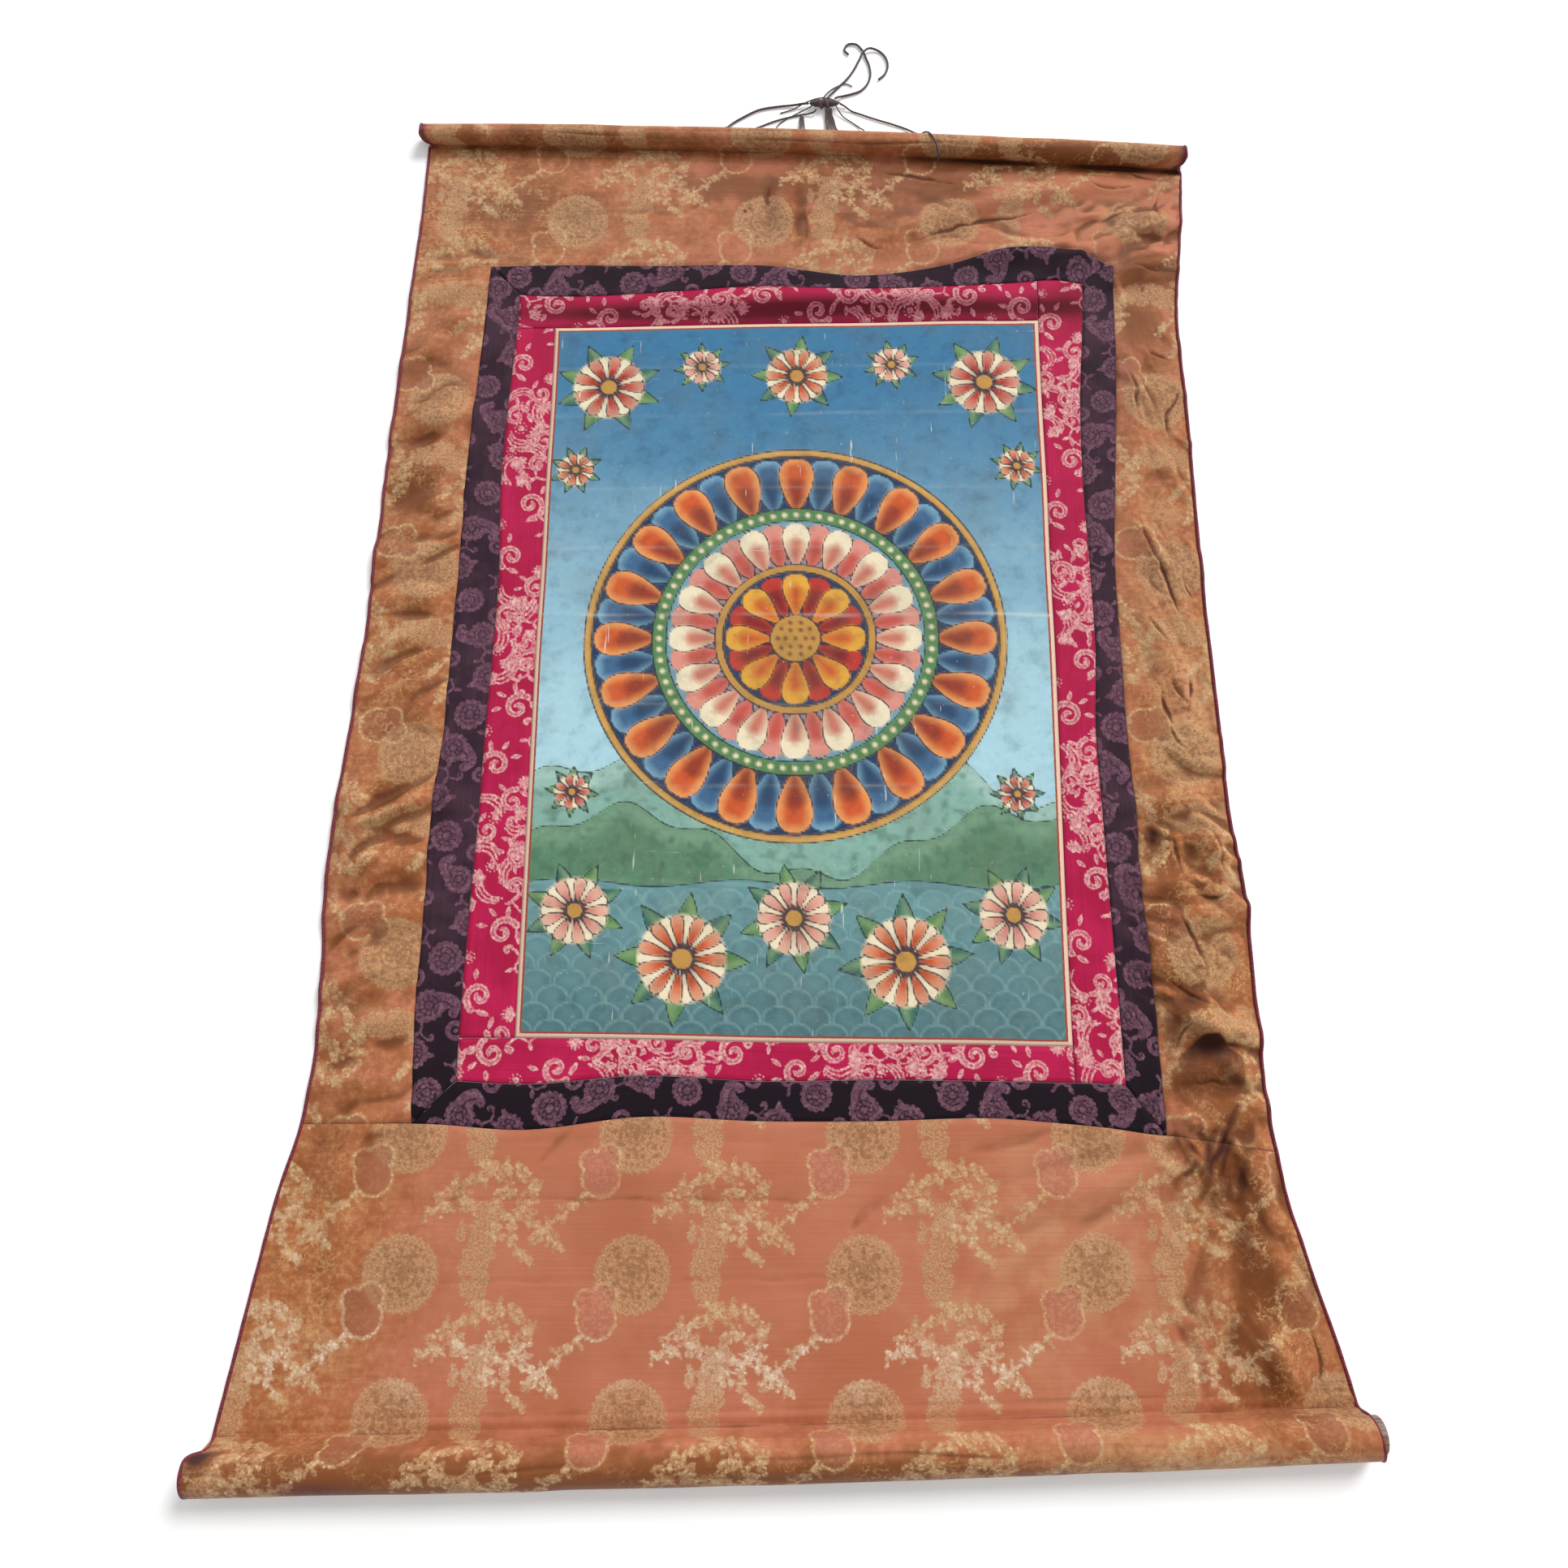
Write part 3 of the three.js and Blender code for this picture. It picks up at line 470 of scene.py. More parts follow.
CROSS_LINES = np.array([
    (-347, 394, 382, 347, -246, -276, -308),
    (-255, 407, 381, 347, -247, -277, -308),
    (-187, 409, 378, 347, -247, -280, -312),
    (-102, 408, 382, 349, -248, -274, -303),
    (-18, 409, 388, 351, -250, -278, -306),
    (66, 399, 384, 352, -251, -277, -306),
    (150, 411, 388, 354, -252, -278, -304),
    (193, 422, 391, 354, -253, -279, -307),
    (235, 422, 394, 355, -253, -280, -311),
    (263, 418, 389, 355, -253, -283, -315),
    (283, 407, 387, 355, -253, -284, -317),
    (353, 399, 387, 355, -253, -284, -328),
]) * MM


def line_through(table, column):
    """A curve through one column of a table: between two rows a cubic whose end slopes are the mean of the
    slopes on both sides."""
    places, values = table[:, 0], table[:, column]
    slopes = np.diff(values) / np.diff(places)
    ends = np.concatenate([slopes[:1], (slopes[1:] + slopes[:-1]) / 2, slopes[-1:]])

    def at(place):
        place = np.clip(place, places[0], places[-1])
        i = np.clip(np.searchsorted(places, place) - 1, 0, len(places) - 2)
        span = places[i + 1] - places[i]
        return cubic((place - places[i]) / span, span, values, ends, i)

    return at


down = {name: line_through(DOWN_LINES, i) for i, name in enumerate(DOWN_COLUMNS) if i}
across = {name: line_through(CROSS_LINES, i) for i, name in enumerate(CROSS_COLUMNS) if i}
print("seam lines:", len(down), "down and", len(across), "across")

# %% Folds
FOLDS = np.array([
    # x and y of its middle, reach along and across, rise, degrees turned
    (-218, 478, 70, 22, 3.5, 0), (-282, 433, 26, 12, 4, 10), (0, 468, 28, 10, 6, 90), (138, 455, 95, 12, 6, 18),
    (208, 422, 60, 15, 9, 2), (245, 481, 80, 12, 5, 6), (311, 445, 30, 11, 7, 19), (308, 408, 30, 11, 8, 26),
    (55, 374, 150, 13, 6, 1), (-289, 381, 34, 13, 5, 10), (-296, 331, 40, 12, 5, 53), (-296, 256, 38, 12, 6, 15),
    (-296, 212, 38, 13, 6.5, 47), (-304, 160, 38, 12, 5, 54), (-297, 98, 36, 12, 6, 2), (-301, 65, 36, 11, 6, 28),
    (-308, 23, 30, 11, 3.5, 18), (-306, -50, 38, 12, 6.5, 34), (-310, -84, 36, 12, 5, 31),
    (-310, -118, 40, 15, 7, 9), (-307, -156, 40, 12, 6, 9), (-316, -204, 34, 15, 5.5, 26),
    (-306, -236, 38, 12, 5, 10), (-307, -278, 38, 13, 5, 12), (293, 271, 55, 10, 5, -92),
    (307, 114, 70, 11, 5.5, -69), (303, 48, 62, 11, 5.5, -72), (293, -70, 30, 13, 8, 12),
    (325, -109, 32, 11, 9, -73), (288, -133, 26, 12, 7, -9), (320, -158, 30, 11, 7, 4), (290, -190, 30, 15, 7, -20),
    (315, -238, 34, 14, 13, -13), (311, -272, 28, 11, 8, 0), (309, -301, 34, 12, 9, 8), (303, -335, 32, 10, 9, 55),
    (331, -350, 42, 12, 10, 68), (347, -409, 30, 16, 8, -59), (301, -425, 32, 12, 8, 66),
    (338, -460, 26, 15, 7, -60), (-317, -332, 32, 12, 5, 67), (-309, -390, 26, 12, 5, 74),
    (-37, -445, 120, 26, 2.5, 0), (218, -350, 60, 14, 5, 14), (-96, -340, 110, 18, 3, 0),
])
CLOTH_THICKNESS = 1.6 * MM
FLAT_BELOW = 0.5 * MM


def fold_height(x, y):
    """Height of the underside: for each fold its rise times a bell curve along and across its own line, all
    added up, less the height that presses flat, and never below the floor."""
    height = np.full(np.broadcast(x, y).shape, -FLAT_BELOW)
    for fold_x, fold_y, along, wide, rise, turn in FOLDS:
        far_along, far_across = turned_axes(x - fold_x * MM, y - fold_y * MM, turn)
        height = height + rise * MM * bell(far_along, along * MM) * bell(far_across, wide * MM)
    return np.maximum(0, height)


print("folds:", len(FOLDS))

# %% [markdown]
# ## Creases, wrinkles and puckers
# The folds give the broad form, and smaller marks lie on top of it. A crease is a straight line pressed into the
# cloth or raised out of it. A wrinkle is a narrow groove along a route of a few points. A pucker is a patch where
# slack cloth is gathered: noise drawn out along one direction.

# %% Creases
CREASES = np.array([
    # x and y of both ends, width, rise; first the left panel: broad troughs between the folds
    (-330, 170, -284, 208, 9, -3.0), (-264, 365, -286, 337, 7, -1.8), (-305, 317, -283, 309, 6, -1.5),
    (-308, 235, -271, 246, 6, -1.8), (-314, 87, -278, 81, 5, -1.4), (-290, 54, -320, 40, 8, -2.0),
    (-290, -58, -323, -76, 8, -2.4), (-316, -92, -274, -100, 5, -1.5), (-296, -137, -272, -134, 6, -1.6),
    (-334, -140, -317, -143, 5, -1.3), (-335, -189, -317, -184, 5, -1.3), (-299, -254, -276, -248, 5, -1.5),
    (-333, -270, -307, -264, 6, -1.6),
    # Right panel: a dark pocket beside the strip and deep hollows lower down
    (280, -90, 282, -107, 6, -3.2), (284, -216, 308, -208, 7, -2.4), (300, -252, 326, -256, 6, -2.4),
    (296, -277, 326, -280, 11, -3.4), (322, -313, 292, -352, 4, -2.6), (320, -364, 316, -417, 10, -3.0),
    (296, 145, 325, 58, 3, -1.2), (303, 212, 318, 204, 6, -1.0),
    # Top panel: two upright creases, slanting wrinkles and a crumpled right corner
    (-12, 497, -16, 466, 4, -1.2), (16, 474, 13, 440, 4, -1.3), (24, 470, 108, 437, 6, -1.6),
    (110, 483, 228, 429, 6, -1.8), (150, 429, 255, 420, 5, -1.8), (292, 441, 333, 429, 4, -1.8),
    (293, 404, 325, 414, 4, -1.8), (308, 474, 345, 487, 5, -1.4), (-285, 429, -228, 411, 6, -1.4),
    (-189, 466, -103, 460, 7, -1.2),
    # Bottom panel: creases from years rolled up, and slanting ones at both sides
    (-313, -359, 77, -360, 1.6, -0.5), (-302, -414, -116, -413, 1.6, -0.4), (-94, -413, 121, -412, 1.6, -0.4),
    (-329, -338, -306, -312, 4, -1.8), (-320, -410, -297, -378, 4, -2.2), (48, -379, 68, -360, 5, -1.5),
    (-240, -377, -223, -338, 5, -1.0), (-179, -338, -154, -313, 5, -1.2), (135, -327, 194, -313, 5, -1.3),
    (320, -306, 290, -358, 3.5, -2.4), (311, -304, 296, -330, 2.6, -1.8), (110, -470, 230, -375, 11, 1.5),
    (150, -405, 262, -330, 9, 1.3), (-120, -390, -60, -340, 12, 1.0),
])
CREASE_WANDER, CREASE_BEND = 1.6 * MM, 14 * MM
CREASE_END = 0.12


def crease_height(x, y):
    """Each crease is a line between two points that wanders a little: its rise times a bell curve of the distance
    from the line. Along the line, depth and width follow half a sine wave, so both ends run out to a point."""
    height = np.zeros(np.broadcast(x, y).shape)
    for seed, (x1, y1, x2, y2, wide, rise) in enumerate(CREASES * MM):
        length = math.hypot(x2 - x1, y2 - y1)
        cos, sin = (x2 - x1) / length, (y2 - y1) / length
        along = ((x - x1) * cos + (y - y1) * sin) / length
        fade = np.sin(np.pi * np.clip((along + CREASE_END) / (1 + 2 * CREASE_END), 0, 1)) ** 0.8
        off = (y - y1) * cos - (x - x1) * sin
        off = off + CREASE_WANDER * soft_noise(along * length, 0 * along + seed, CREASE_BEND, 50)
        height = height + rise * fade * bell(off, wide * (0.45 + 0.55 * fade))
    return height

# %% Wrinkles
WRINKLES = (
    # Right panel
    [(305, 325), (318, 319), (328, 313)], [(291, 313), (289, 305), (293, 290), (294, 271), (293, 255)],
    [(331, 297), (328, 278), (321, 267), (320, 244), (322, 240)],
    [(274, 163), (281, 160), (287, 170), (292, 156), (300, 131), (307, 113), (313, 89), (320, 72), (325, 58)],
    [(319, 117), (324, 103), (328, 96)], [(287, 89), (296, 72), (307, 54)],
    [(306, 41), (306, 24), (313, 11), (319, 4)], [(319, 37), (319, 21), (316, 7)],
    [(296, 27), (297, 11), (305, -13)], [(300, -3), (306, -22), (313, -30)],
    [(313, -88), (323, -94), (329, -107), (329, -121), (338, -132)], [(292, -92), (297, -110), (300, -128)],
    [(304, -138), (321, -144), (337, -140)], [(286, -146), (299, -163), (306, -180), (315, -214)],
    [(278, -201), (291, -211), (307, -221), (320, -224)], [(296, -231), (288, -248), (284, -261)],
    [(309, -244), (318, -251), (328, -254), (338, -253)], [(292, -281), (309, -279), (325, -282)],
    # Top panel
    [(67, 506), (117, 498), (166, 487)], [(94, 425), (122, 435), (165, 450), (208, 458), (237, 467)],
    [(56, 443), (76, 425), (94, 421)], [(-13, 492), (-16, 477), (-11, 463)], [(17, 464), (20, 443), (17, 424)],
    [(260, 498), (280, 485), (313, 489)], [(296, 506), (324, 495), (341, 492)], [(271, 448), (293, 458), (317, 453)],
    [(330, 485), (325, 464), (332, 443)],
    # Right side of the bottom panel
    [(329, -288), (321, -300), (315, -313)], [(316, -315), (306, -330), (298, -344), (291, -359)],
    [(321, -316), (312, -332), (304, -347)], [(309, -316), (301, -330), (296, -341)],
    [(278, -345), (287, -342), (295, -336)], [(288, -319), (291, -325), (295, -330)],
    [(325, -338), (322, -349), (319, -358)], [(363, -440), (367, -473), (358, -485)],
)
WRINKLE_FAR, WRINKLE_REACH = 12.0, 8


def wrinkle_distance(x, y):
    """Distance in millimetres from the nearest wrinkle, a line through a few points that wanders a little. Towards
    both ends the distance grows by a share of one less a sine, so that a wrinkle runs out."""
    across, up = np.broadcast_arrays(x / MM, y / MM)
    field = np.full(across.shape, WRINKLE_FAR)
    for seed, route in enumerate(WRINKLES):
        line = curve_through([(*point, 0) for point in route], 1.0)
        t = np.linspace(0, 1, len(line))
        wander = [soft_noise(40 * t * len(t) / 60, 0 * t + way + seed, 6, 80) for way in (0, 30, 60)]
        line = line + np.stack(wander, axis=-1)
        faint = 2.6 * (1 - np.sin(np.pi * t)) + 0.7 * soft_noise(t * len(t), 0 * t + seed, 9, 81)
        low, high = line.min(axis=0) - WRINKLE_REACH, line.max(axis=0) + WRINKLE_REACH
        near = (across > low[0]) & (across < high[0]) & (up > low[1]) & (up < high[1])
        if near.any():
            away = np.hypot(across[near][:, None] - line[:, 0], up[near][:, None] - line[:, 1]) + faint
            field[near] = np.minimum(field[near], away.min(axis=1))
    return np.maximum(field, 0)

# %% Puckers and the face of the cloth
PUCKERS = (
    # x and y of the place, its width and length, degrees turned, length and width of a ridge, rise
    (-298, 40, 46, 370, 30, 44, 20, 5.8), (312, 200, 42, 180, -64, 40, 12, 2.6),
    (306, -170, 44, 160, -28, 32, 16, 5.6), (326, -400, 52, 110, -66, 54, 15, 4.0),
    (20, 462, 340, 50, 16, 52, 18, 2.4), (300, 450, 64, 60, 24, 30, 10, 4.2),
    (-330, -370, 54, 80, 60, 60, 16, 0.9), (-20, -410, 330, 90, 4, 150, 26, 0.5),
)
LOWEST_FACE = 0.7 * MM


def pucker_height(x, y):
    """Fine wrinkles of slack cloth: inside a flat-topped bell curve, noise drawn out along one direction. Half of
    it counts without its sign, which makes some valleys narrow and leaves the others broad."""
    height = np.zeros(np.broadcast(x, y).shape)
    for seed, (place_x, place_y, wide, long, turn, length, width, rise) in enumerate(PUCKERS):
        dx, dy = x / MM - place_x, y / MM - place_y
        patch = np.exp(-((dx / wide) ** 4) - (dy / long) ** 4)
        along, off = turned_axes(dx, dy, turn)
        wander = 0.35 * width * soft_noise(along, off, 1.5 * width, 20 + seed)
        wave = soft_noise(along * width / length, off + wander, width, seed)
        wave = wave + 0.4 * soft_noise(along * width / length, off + wander, 0.45 * width, 10 + seed)
        height = height + patch * rise * MM * (0.55 * wave + 0.7 * np.sqrt(wave**2 + 0.02))
    return height


LIP_RISE, LIP_WIDE = 0.8 * MM, 4.0
GROOVE_DEEP, GROOVE_WIDE = 2.0 * MM, 1.7


def cloth_height(x, y):
    """Face of the cloth: the fold's height, the cloth's thickness, the creases, the fine wrinkles, and a groove with
    raised sides along each wrinkle line."""
    off = wrinkle_distance(x, y)
    groove = LIP_RISE * bell(off, LIP_WIDE) - GROOVE_DEEP * bell(off, GROOVE_WIDE)
    height = fold_height(x, y) + CLOTH_THICKNESS + crease_height(x, y) + pucker_height(x, y) + groove
    return np.maximum(height, LOWEST_FACE)


print("creases:", len(CREASES), "wrinkles:", len(WRINKLES), "puckers:", len(PUCKERS))

# %% [markdown]
# ## Laying a sheet
# A sheet lies between a left and a right line and a top and a bottom line. Each of its points sits where a line
# down and a line across meet, which a few passes find, because each line bends along the other. Close to a seam
# the cloth is pulled down by its stitches, and a narrow rim closes the sheet to the floor.

# %% Sheet grids
SEAM_DIP = 0.9 * MM
SEAM_REACH = 1.8 * MM
SEAM_GAP = 0.12 * MM
UNDER_PIPING = 0.9 * MM
HOLLOW_REACH = 6.0 * MM
HOLLOW_DEPTH = 1.15 * MM
MEETING_PASSES = 7


def meeting(left, right, top, bottom, columns, rows):
    """Plan of a sheet: x and y where the lines meet, with f from left to right and k from top to bottom."""
    f, k = np.meshgrid(np.linspace(0, 1, columns), np.linspace(0, 1, rows))
    y = np.zeros_like(f)
    for _ in range(MEETING_PASSES):
        x = mix(left(y, k) + SEAM_GAP, right(y, k) - SEAM_GAP, f)
        y = mix(top(x, f) - SEAM_GAP, bottom(x, f) + SEAM_GAP, k)
    return x, y, f, k


def edge_distance(x, y):
    """Distance of each point of a plan from the plan's own four edges, row by row and column by column."""
    side = np.minimum(np.hypot(x - x[:, :1], y - y[:, :1]), np.hypot(x - x[:, -1:], y - y[:, -1:]))
    end = np.minimum(np.hypot(x - x[:1], y - y[:1]), np.hypot(x - x[-1:], y - y[-1:]))
    return np.minimum(side, end)


def blurred(values, reach):
    """Mean over a square of cells round each point, from running sums, done twice for a soft edge."""
    size = 2 * reach + 1
    for axis in (0, 1, 0, 1):
        padding = [(reach + 1, reach) if i == axis else (0, 0) for i in (0, 1)]
        total = np.moveaxis(np.cumsum(np.pad(values, padding, mode="edge"), axis=axis), axis, 0)
        values = np.moveaxis((total[size:] - total[:-size]) / size, 0, axis)
    return values


def hollows(height, step):
    """From -1 on a crest to 1 in a trough: how far a point lies below the mean height round it. The materials
    paint shade into troughs from it, and the brocade a highlight onto crests.
    """
    return np.clip((blurred(height, max(2, round(HOLLOW_REACH / step))) - height) / HOLLOW_DEPTH, -1, 1)


def with_rim(points):
    """The grid with one more ring of points, straight under its edge at the floor."""
    wider = np.pad(points, ((1, 1), (1, 1), (0, 0)), mode="edge")
    rim = np.ones(wider.shape[:2], bool)
    rim[1:-1, 1:-1] = False
    wider[rim, 2] = np.maximum(wider[rim, 2] - CLOTH_THICKNESS + SEAM_DIP, 0.1 * MM)
    return wider


def padded(values):
    return np.pad(values, ((1, 1), (1, 1)) + ((0, 0),) * (values.ndim - 2), mode="edge")


def lay_sheet(left, right, top, bottom, step, seam_shade=0.5):
    """A sheet as a grid with a point about every step, its plan for patterns, and its hollow value, from which the
    materials paint shade in troughs and along the seams.
    """
    probe = meeting(left, right, top, bottom, 3, 3)
    wide = np.hypot(np.diff(probe[0], axis=1), np.diff(probe[1], axis=1)).sum(axis=1).max()
    long = np.hypot(np.diff(probe[0], axis=0), np.diff(probe[1], axis=0)).sum(axis=0).max()
    x, y, f, k = meeting(left, right, top, bottom, int(wide / step) + 2, int(long / step) + 2)
    height, seam = cloth_height(x, y), bell(edge_distance(x, y), SEAM_REACH)
    return {"points": np.stack([x, y, height - SEAM_DIP * seam], axis=-1), "x": x, "y": y, "f": f, "k": k,
            "wide": wide, "long": long, "hollow": np.maximum(hollows(height, step), seam_shade * seam)}


def plain(line, shift=0.0):
    return lambda place, share: line(place) + shift


def slanted(first, second):
    """A line that goes from one seam line to another along the sheet, for a mitred end."""
    return lambda place, share: mix(first(place), second(place), share)


def cloth_area(points):
    """Area of a grid: half the length of the cross product of each cell's diagonals, added up."""
    cells = np.cross(points[1:, 1:] - points[:-1, :-1], points[1:, :-1] - points[:-1, 1:])
    return 0.5 * float(np.linalg.norm(cells, axis=-1).sum())


def finish_sheet(name, sheet, cloth, values, material):
    """Adds a laid sheet with its cloth map and painted values."""
    grid = {"points": with_rim(sheet["points"]), "cloth": padded(cloth)}
    values["hollow"] = sheet["hollow"]
    grid["values"] = {key: padded(value) for key, value in values.items()}
    piece = add_piece(name, grid_mesh(name, [grid]), material, [name])

# %% [markdown]
# ## Woven patterns
# The patterns are woven figures: rondels, gourds and flower sprays on the mount, rosettes on the outer strips
# and leafy scrolls on the inner ones. Each figure is a chain of round stitches, a list of discs. Every point of
# the cloth stores how far it is from the nearest disc, and the material turns that distance into a crisp edge,
# so a pattern is sharper than the mesh it rides on.

# %% Figures made of round stitches
def stem(points, start, end):
    """Discs along a curve, from one radius to another. Millimetres."""
    line = curve_through(np.array([(*point, 0) for point in points], float), 0.8)[:, :2]
    return np.column_stack([line, np.linspace(start, end, len(line))])


def leaf(x, y, length, width, turn):
    """Discs along a straight line whose radius grows and shrinks as half a sine wave."""
    t = np.linspace(0.02, 0.98, max(5, int(length / 1.2)))
    cos, sin = heading(turn)
    return np.column_stack([x + length * t * cos, y + length * t * sin, 0.5 * width * np.sin(np.pi * t)])


def curl(x, y, size, turns, thick, start, way=1):
    """A scroll: discs on a spiral that closes in by the same share each turn and thins as it goes."""
    t = np.linspace(0, 1, int(18 * turns) + 6)
    angle = math.radians(start) + way * 2 * np.pi * turns * t
    reach = size * np.exp(-1.5 * t)
    cos, sin = heading(start)
    return np.column_stack([x - size * cos + reach * np.cos(angle), y - size * sin + reach * np.sin(angle),
                            0.5 * thick * (1.1 - 0.6 * t)])


def ring(x, y, radius, count, size, start=0.0):
    """Discs evenly round a circle."""
    angle = math.radians(start) + 2 * np.pi * np.arange(count) / count
    return np.column_stack([x + radius * np.cos(angle), y + radius * np.sin(angle), np.full(count, size)])


def disc(x, y, radius):
    return np.array([[x, y, radius]])


def moved(figure, x, y, turn=0.0, size=1.0, flip=1):
    """A figure turned, scaled, mirrored by a flip of -1, and put in its place."""
    cos, sin = (part * size for part in heading(turn))
    a, b = figure[:, 0] * flip, figure[:, 1]
    return np.column_stack([x + a * cos - b * sin, y + a * sin + b * cos, figure[:, 2] * size])


FAR, FIGURE_REACH = 12.0, 4


def stitch_distance(u, v, figures):
    """Distance in millimetres from each point to the nearest disc, less its radius: negative inside."""
    field = np.full(u.shape, FAR)
    for figure in figures:
        low = (figure[:, :2] - figure[:, 2:]).min(axis=0) - FIGURE_REACH
        high = (figure[:, :2] + figure[:, 2:]).max(axis=0) + FIGURE_REACH
        near = (u > low[0]) & (u < high[0]) & (v > low[1]) & (v < high[1])
        if near.any():
            away = np.hypot(u[near][:, None] - figure[:, 0], v[near][:, None] - figure[:, 1]) - figure[:, 2]
            field[near] = np.minimum(field[near], away.min(axis=1))
    return field


print("a scroll of one turn has", len(curl(0, 0, 10, 1.0, 2.0, 0)), "discs")

# %% [markdown]
# ## The brocade mount
# Copper silk with figures in a paler gold thread. The rondel is a stippled disc, the gourd hangs beside it in
# rose with a gold outline, and the spray has an upright stand and flowering branches. One repeat of these goes
# over each panel; the side panels are cut with the pattern turned, so the figures lie on their side there.

# %% Figures of the brocade
RONDEL = 26.0
GOURD = ((-31, -18, 8.0), (-19, -15, 9.0), (-24, -29, 13.5))
gourd_body = np.array(GOURD)
gourd_line = np.concatenate([ring(x, y, radius, int(6 * radius), 1.1) for x, y, radius in GOURD])
inside = np.hypot(gourd_line[:, None, 0] - gourd_body[:, 0], gourd_line[:, None, 1] - gourd_body[:, 1])
gourd_line = gourd_line[(inside > gourd_body[:, 2] - 0.5).all(axis=1)]
rondel_figure = np.concatenate([disc(0, 0, RONDEL), ring(0, 0, RONDEL - 0.2, 30, 1.5)])
rondel_lines = np.concatenate([
    ring(0, 0, 11, 40, 1.1), ring(0, 0, 20.5, 30, 1.2), ring(0, 0, 6, 7, 1.7, 20), disc(0, 0, 2.8),
    ring(0, 0, 15.5, 9, 2.1, 10), curl(9, 2, 7, 1.2, 2.0, 20), curl(-8, 4, 7, 1.2, 2.0, 160, -1),
    leaf(-2, -6, 13, 3.4, -70), leaf(4, 6, 12, 3.2, 60), leaf(-16, -8, 10, 2.8, 30),
    leaf(11, -15, 9, 2.8, 10), leaf(-8, 14, 9, 2.8, 140)])
STAND_X, STAND_FOOT, STAND_TALL, STAND_HALF, STAND_DISCS = 52, -20, 68, 9, 150
rng = np.random.default_rng(3)
rise = rng.uniform(0, 1, STAND_DISCS)
stand_x = STAND_X + STAND_HALF * (1 + rise**2) * rng.uniform(-1, 1, STAND_DISCS)
stand_figure = np.column_stack([stand_x, STAND_TALL * rise + STAND_FOOT, rng.uniform(1.5, 3.4, STAND_DISCS)])
BRANCHES = (
    # points of the branch, then how many sprigs grow on it and how far they reach
    ([(61, 72), (48, 66), (31, 54), (15, 38)], 36, 5.0), ([(61, 72), (77, 70), (92, 56), (84, 40)], 36, 4.5),
    ([(66, 36), (82, 36), (96, 28), (108, 18)], 40, 6.0), ([(94, 26), (108, 36), (120, 46), (130, 54)], 20, 2.6),
    ([(58, 40), (64, 52), (76, 56), (80, 46)], 20, 4.5), ([(60, 30), (74, 24), (84, 14), (92, 6)], 26, 5.0),
    ([(52, 76), (58, 74), (61, 72), (62, 66)], 10, 3.0), ([(48, 40), (42, 50), (34, 48), (26, 40)], 16, 4.5))


def flowering(points, count, reach, seed):
    """A branch: its stem, and at places along it leaves and small blossoms set off to either side."""
    rng = np.random.default_rng(seed)
    line = stem(points, 1.3, 0.8)
    at = np.linspace(0.03, 1, count)
    tips = line[(at * (len(line) - 1)).astype(int), :2] + rng.uniform(-1, 1, (count, 2)) * reach
    leaves = [leaf(x, y, rng.uniform(5, 9), rng.uniform(2.6, 4.4), rng.uniform(0, 360)) for x, y in tips[::2]]
    sprigs = np.column_stack([tips, rng.uniform(1.0, 2.3, count)])
    return line, np.concatenate(leaves), sprigs


branches = [flowering(points, count, reach, seed) for seed, (points, count, reach) in enumerate(BRANCHES)]
branch_figures = np.concatenate([part for line, leaves, _ in branches for part in (line, leaves)])
blossom_figures = np.concatenate([sprigs for _, _, sprigs in branches])
repeat_figures = (rondel_figure, gourd_line, stand_figure, branch_figures, blossom_figures)
print("discs in one repeat:", sum(map(len, repeat_figures)))

# %% Pattern of one panel
REPEAT_ACROSS = 94.0
# for each panel, where a repeat starts along and across, whether the cut is turned, and the repeat along
CUTS = {"mount_bottom": (-106, -410, False, 162), "mount_top": (-18, 452, False, 162),
        "mount_left": (-122, -288, True, 154), "mount_right": (-122, 310, True, 154)}
WOVEN = {"gold": (rondel_figure, stand_figure, branch_figures), "bright": (blossom_figures, gourd_line),
         "rose": (gourd_body,), "dark": (rondel_lines,)}
UNSEEN = 20.0


def brocade_fields(name, u, v):
    """The panel's pattern: distances to its gold, its bright blossoms, its rose gourds and its dark lines. u and
    v are millimetres on the cloth; a turned cut reads them a quarter turn round. The top panel's gourds are
    outlines alone."""
    start_u, start_v, turned, repeat = CUTS[name]
    if turned:
        u, v = -v, u
    columns = range(int((u.min() - start_u) // repeat) - 1, int((u.max() - start_u) // repeat) + 2)
    rows = range(int((v.min() - start_v) // REPEAT_ACROSS) - 1, int((v.max() - start_v) // REPEAT_ACROSS) + 2)
    places = [(start_u + i * repeat, start_v + j * REPEAT_ACROSS) for i in columns for j in rows]
    fields = {key: stitch_distance(u, v, [moved(figure, *place) for place in places for figure in figures])
              for key, figures in WOVEN.items()}
    if name == "mount_top":
        fields["rose"] = fields["rose"] + UNSEEN
    return fields
